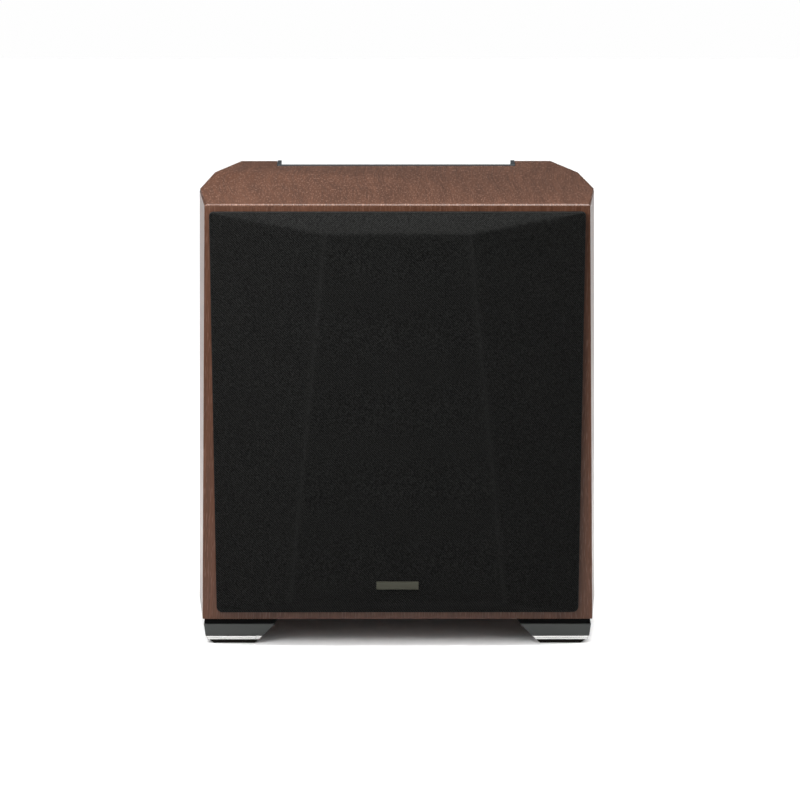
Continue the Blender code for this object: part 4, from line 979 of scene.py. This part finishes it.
def make_dust_cap():
    """Shallow dome, a slice of a hollow sphere."""
    low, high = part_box("dust_cap")
    radius, seat = high.x, high.y - DRIVER_CENTRE.y - CAP_THICK
    rise = seat - (low.y - DRIVER_CENTRE.y)
    sphere = (radius**2 + rise**2) / (2 * rise)
    edge = math.asin(radius / sphere)

    def dome(lift):
        angles = [edge * i / CAP_STEPS for i in range(CAP_STEPS + 1)]
        middle = seat - rise + sphere
        return [((sphere + lift) * math.sin(t), middle - (sphere + lift) * math.cos(t)) for t in angles]

    profile = dome(0.0) + list(reversed(dome(-CAP_THICK)))
    on_driver(profile, "dust_cap_dome", "cone_metal", "cone_unit", ["dust_cap"])


def make_voice_coil():
    """Former with the wire wound round its rear part."""
    low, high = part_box("voice_coil")
    start, end = low.y - DRIVER_CENTRE.y, high.y - DRIVER_CENTRE.y
    profile = [
        (FORMER_INNER, start),
        (FORMER_OUTER, start),
        (FORMER_OUTER, COIL_START),
        (high.x - COIL_EDGE, COIL_START),
        (high.x, COIL_START + COIL_EDGE),
        (high.x, end),
        (FORMER_INNER, end),
    ]
    on_driver(profile, "voice_coil_winding", "copper_wire", "cone_unit", ["voice_coil"])


def make_spider():
    """Corrugated disc whose waves fade out towards its two edges."""
    low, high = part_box("spider")
    middle = (low.y + high.y - SPIDER_THICK) / 2 - DRIVER_CENTRE.y
    inner = FORMER_OUTER + 2 * GAP
    front = []
    for i in range(SPIDER_STEPS + 1):
        share = i / SPIDER_STEPS
        wave = math.sin(2 * math.pi * SPIDER_WAVES * share) * math.sin(math.pi * share) ** SPIDER_FADE
        front.append((inner + (SHELF_INNER - inner) * share, middle + SPIDER_WAVE * wave))
    front.append((high.x, middle))
    back = [(r, depth + SPIDER_THICK) for r, depth in reversed(front)]
    made = on_driver(front + back, "spider_disc", "resin_cloth", replaces=["spider"])
    bend_by_radius(unparented(made))


def make_motor():
    for node, inner, slot in MOTOR_RINGS:
        low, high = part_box(node)
        start, end = low.y - DRIVER_CENTRE.y, high.y - DRIVER_CENTRE.y
        profile = rounded_ring(inner, high.x, start, end, MOTOR_EDGE)
        on_driver(profile, f"{node}_ring", slot, replaces=[node])
    refine("back_plate", "plain_steel", 2 * FINE_EDGE)
    refine("terminal_block", "black_plastic", FINE_EDGE)


def hexagon(turn):
    """Scales a radius so that a round turns into a hexagon that holds it."""
    return 1.0 / math.cos((turn + math.pi / 6) % (math.pi / 3) - math.pi / 6)


def socket_screw(centre, radius, height, shank_radius, shank):
    """A pan-headed screw along Y with a hexagon socket, its head standing towards -Y."""
    socket = radius * 0.42
    profile = [
        (0.0, -height * 0.35),
        (socket, -height * 0.35, hexagon),
        (socket, -height, hexagon),
        (radius * 0.72, -height),
        (radius * 0.93, -height * 0.72),
        (radius, -height * 0.25),
        (radius, -GAP / 2),
        (shank_radius, -GAP / 2),
        (shank_radius, shank),
        (0.0, shank),
    ]
    return spun(profile, centre, SMALL_SIDES)


def make_driver_screws():
    for number in range(1, SPOKES + 1):
        node = f"driver_screw_{number}"
        low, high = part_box(node)
        centre = centre_of(node)
        centre.y = DRIVER_CENTRE.y
        radius, height = (high.x - low.x) / 2, DRIVER_CENTRE.y - low.y
        shank = radius * SCREW_SHANK_SHARE
        shape = socket_screw(centre, radius, height, shank, high.y - DRIVER_CENTRE.y)
        piece(f"{node}_socket_head", shape, "plain_steel", "cabinet", [node])


def make_driver():
    make_basket()
    make_surround()
    make_cone()
    make_dust_cap()
    make_voice_coil()
    make_spider()
    make_motor()
    make_driver_screws()


# Amplifier


def make_knob(node, body):
    """Ribbed knob with a white pointer line let into its end."""
    low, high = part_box(node)
    centre = centre_of(node)
    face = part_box("connection_plate")[1].y
    centre.y = face
    radius = (high.x - low.x) / 2
    end = high.y - face

    def ribs(turn):
        return 1.0 - KNOB_RIB_SHARE * (0.5 - 0.5 * math.cos(KNOB_RIBS * turn))

    profile = [
        (0.0, end),
        (radius - 0.0022, end),
        (radius - 0.0011, end - 0.0004),
        (radius - 0.0006, end - 0.0012, ribs),
        (radius, 0.0035, ribs),
        (radius, 0.0030),
        (radius, 0.0012),
        (radius - 0.0004, KNOB_GAP),
        (KNOB_SHAFT, KNOB_GAP),
        (KNOB_SHAFT, low.y - face),
        (0.0, low.y - face),
    ]
    knob = spun(profile, centre, KNOB_SIDES)
    piece(f"{node}_ribbed", knob, "black_plastic", body, [node], crease=KNOB_CREASE_DEGREES)
    start, stop = (radius * share for share in POINTER_SPAN)
    line_low = centre + Vector((-POINTER_HALF_WIDTH, end - POINTER_SINK, start))
    line_high = centre + Vector((POINTER_HALF_WIDTH, end + MARK_THICK, stop))
    line = block(line_low, line_high)
    mark = piece(f"{node}_pointer", line, "bright_trim", body, finish=MARK_WHITE)
    round_edges(mark, FINE_EDGE / 2)


def make_tick_marks(node):
    """Printed scale round a knob: plain ticks with no lettering."""
    centre = centre_of(node)
    centre.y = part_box("connection_plate")[1].y
    ticks = []
    for i in range(TICKS):
        turn = math.pi / 2 + TICK_SWEEP * (i / (TICKS - 1) - 0.5)
        length = TICK_END if i in (0, TICKS // 2, TICKS - 1) else TICK_END - TICK_SHORTER
        tick = block((TICK_START, 0.0, -TICK_WIDTH / 2), (length, MARK_THICK, TICK_WIDTH / 2))
        place = Matrix.Translation(centre) @ Matrix.Rotation(-turn, 4, "Y")
        bmesh.ops.transform(tick, matrix=place, verts=tick.verts)
        ticks.append(tick)
    piece(f"{node}_scale", joined(*ticks), "bright_trim", finish=MARK_WHITE)


def make_plate_screws():
    low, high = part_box("connection_plate")
    inset = PLATE_SCREW_INSET
    screws = []
    for x in (low.x + inset, 0.0, high.x - inset):
        for z in (low.z + inset, high.z - inset):
            screw = socket_screw(Vector((x, 0.0, z)), *PLATE_SCREW_SIZES)
            turn = Matrix.Translation((0.0, high.y, 0.0)) @ Matrix.Diagonal((1.0, -1.0, 1.0, 1.0))
            bmesh.ops.transform(screw, matrix=turn, verts=screw.verts)
            screws.append(closed(screw))
    piece("plate_screws", joined(*screws), "black_plastic")


def make_mains_pins(face):
    inlet = centre_of("mains_inlet")
    width, length, height = MAINS_PIN_SIZE
    blades = []
    for x, z in MAINS_PINS:
        low = Vector((inlet.x + x - width / 2, face - MAINS_PIN_DEPTH, inlet.z + z - height / 2))
        blades.append(block(low, low + Vector((width, length, height))))
    made = piece("mains_pins", joined(*blades), "plain_steel", finish=NICKEL)
    round_edges(made, FINE_EDGE)


def make_phono_jacks(face):
    """Metal barrels with an insulator inside and a collar round the foot, white above and red below."""
    line = centre_of("line_inputs")
    for name, rise, colour in (("upper", PHONO_RISE, MARK_WHITE), ("lower", -PHONO_RISE, PORT_RED)):
        centre = Vector((line.x, face, line.z + rise))
        for part, ring in PHONO_RINGS.items():
            slot, finish = ("plain_steel", NICKEL) if part == "barrel" else ("black_plastic", colour)
            shape = spun(rounded_ring(*ring), centre, SMALL_SIDES)
            piece(f"phono_{part}_{name}", shape, slot, finish=finish)


def make_contacts():
    """Bare metal contacts of the mains inlet, the balanced socket and the phono jacks."""
    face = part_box("connection_plate")[1].y
    make_mains_pins(face)
    balanced = centre_of("balanced_latch")
    centre = Vector((balanced.x, face, balanced.z - SLEEVE_DROP))
    sleeve = rounded_ring(*SLEEVE_RING)
    places = around(SLEEVE_CIRCLE, 3, math.pi / 6)
    sleeves = [spun(sleeve, centre + offset, SLEEVE_SIDES) for offset in places]
    piece("balanced_sleeves", joined(*sleeves), "plain_steel", finish=NICKEL)
    make_phono_jacks(face)


def make_amplifier():
    for node, slot, *rounding in AMPLIFIER_PARTS:
        refine(node, slot, *rounding)
    for node, body in (("level_knob", "level_control"), ("crossover_knob", "crossover_control")):
        make_knob(node, body)
        make_tick_marks(node)
    make_plate_screws()
    make_contacts()


# Feet


def grooved_bar(node):
    """A four-sided bar with softened edges and a fine groove round its middle, inside a CAD bar."""
    low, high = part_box(node)
    points = {tuple(round(value, 6) for value in vertex.co) for vertex in NODES[node].data.vertices}
    middle = (low + high) / 2

    def turn(point):
        return math.atan2(point[1] - middle.y, point[0] - middle.x)

    foot = sorted((p for p in points if p[2] < low.z + GAP), key=turn)
    head = sorted((p for p in points if p[2] > high.z - GAP), key=turn)
    rings = []
    for share, inset in GROOVED_LEVELS:
        corners = [Vector(a).lerp(Vector(b), share) for a, b in zip(foot, head)]
        for corner in corners:
            corner.x -= math.copysign(inset, corner.x - middle.x)
            corner.y -= math.copysign(inset, corner.y - middle.y)
        rings.append(corners)
    return lofted(rings)


def make_foot(ending):
    """Grey bracket with its spacer painted near-black, a bright trim strip and a rubber pad; the spacer's
    near-black also carries painted shade of the recess under the cabinet.
    """
    bracket = refine(f"foot_bracket_{ending}", "foot_grey", FOOT_EDGE)
    shoulder = heights(bracket)[-2]
    # painted shade: the spacer band is darker than any black part, standing in for the recess's shade
    repaint(bracket, SPACER_BLACK_AND_SHADE, lambda centre: centre.z > shoulder + GAP)
    trim = f"foot_trim_{ending}"
    piece(f"{trim}_grooved", grooved_bar(trim), "bright_trim", replaces=[trim])
    refine(f"foot_pad_{ending}", "soft_rubber", FOOT_EDGE)


def make_feet():
    for row in ("front", "rear"):
        for side in ("left", "right"):
            make_foot(f"{row}_{side}")


# Stage


def make_floor(name, paleness, height):
    """A wide matt floor, reaching further behind the object than in front of it."""
    shape = bmesh.new()
    bmesh.ops.create_grid(shape, x_segments=FLOOR_CELLS, y_segments=FLOOR_CELLS, size=FLOOR_HALF)
    bmesh.ops.translate(shape, verts=shape.verts, vec=(0.0, FLOOR_SHIFT, height))
    mesh = bpy.data.meshes.new(name)
    shape.to_mesh(mesh)
    shape.free()
    finish = Finish(f"{name}_paint", Roughness=0.9, Specular_IOR_Level=0.1)
    colour = finish.ramp(finish.noise(3.0), (0.3, (paleness * 0.99,) * 3), (0.7, (paleness,) * 3))
    finish.paint("Base Color", colour)
    mesh.materials.append(finish.material)
    floor = bpy.data.objects.new(name, mesh)
    bpy.context.scene.collection.objects.link(floor)
    return floor


def make_floors():
    """The white floor that is seen and mirrored, and a grey one under it that throws less light back up."""
    seen = make_floor("floor", FLOOR_WHITE, 0.0)
    seen.visible_diffuse = False
    dim = make_floor("floor_bounce", BOUNCE_GREY, -BOUNCE_DROP)
    dim.visible_camera = False
    dim.visible_glossy = False
    return seen


def soft_light(name, place, aim, size, watts, only=None):
    """A rectangular softbox aimed at a point, which lights one collection only if that is given."""
    light = bpy.data.lights.new(name, "AREA")
    light.shape = "RECTANGLE"
    light.size, light.size_y = size
    light.energy = watts
    lamp = bpy.data.objects.new(name, light)
    bpy.context.scene.collection.objects.link(lamp)
    lamp.location = place
    lamp.rotation_mode = "QUATERNION"
    lamp.rotation_quaternion = (Vector(aim) - Vector(place)).to_track_quat("-Z", "Y")
    if only is not None:
        lamp.light_linking.receiver_collection = only
    return lamp


def make_world():
    """White behind the object; for everything else a studio that is dark near the horizon."""
    world = bpy.data.worlds.new("studio")
    bpy.context.scene.world = world
    world.use_nodes = True
    tree = world.node_tree
    nodes, links = tree.nodes, tree.links
    backdrop = nodes["Background"]
    backdrop.inputs["Color"].default_value = BACKDROP_WHITE
    direction = nodes.new("ShaderNodeTexCoord")
    parts = nodes.new("ShaderNodeSeparateXYZ")
    links.new(direction.outputs["Generated"], parts.inputs[0])
    glow = nodes.new("ShaderNodeMapRange")
    for index, value in enumerate((0.0, CEILING_RISE, HORIZON_GLOW, CEILING_GLOW), 1):
        glow.inputs[index].default_value = value
    links.new(parts.outputs["Z"], glow.inputs[0])
    room = nodes.new("ShaderNodeBackground")
    links.new(glow.outputs[0], room.inputs["Strength"])
    rays = nodes.new("ShaderNodeLightPath")
    choice = nodes.new("ShaderNodeMixShader")
    links.new(rays.outputs["Is Camera Ray"], choice.inputs[0])
    links.new(room.outputs[0], choice.inputs[1])
    links.new(backdrop.outputs[0], choice.inputs[2])
    links.new(choice.outputs[0], nodes["World Output"].inputs["Surface"])


def make_lights(floor):
    floor_only = bpy.data.collections.new("floor_only")
    floor_only.objects.link(floor)
    for light in SUBJECT_LIGHTS:
        soft_light(*light)
    for light in FLOOR_LIGHTS:
        soft_light(*light, only=floor_only)


def make_camera():
    data = bpy.data.cameras.new("camera")
    data.lens = CAMERA_LENS
    data.sensor_width = SENSOR_WIDTH
    data.clip_end = CAMERA_REACH
    camera = bpy.data.objects.new("camera", data)
    bpy.context.scene.collection.objects.link(camera)
    level = Vector((math.sin(CAMERA_AZIMUTH), -math.cos(CAMERA_AZIMUTH), 0.0))
    back = level * math.cos(CAMERA_ELEVATION) + Vector((0.0, 0.0, math.sin(CAMERA_ELEVATION)))
    camera.location = Vector((CAMERA_AIM_X, FRONT_Y, CAMERA_AIM_Z)) + back * CAMERA_DISTANCE
    camera.rotation_euler = (-back).to_track_quat("-Z", "Y").to_euler()
    bpy.context.scene.camera = camera


def finish_cad_nodes():
    """Gives each CAD node that stays in view its detailed finish."""
    for node in NODES.values():
        for slot in node.material_slots:
            slot.material = FINISHES[slot.material.name.split(".")[0]]


finish_cad_nodes()
make_wrap()
make_top_skin()
make_grille()
make_driver()
make_amplifier()
make_feet()
make_world()
make_lights(make_floors())
make_camera()
bpy.context.scene.view_settings.view_transform = "Standard"
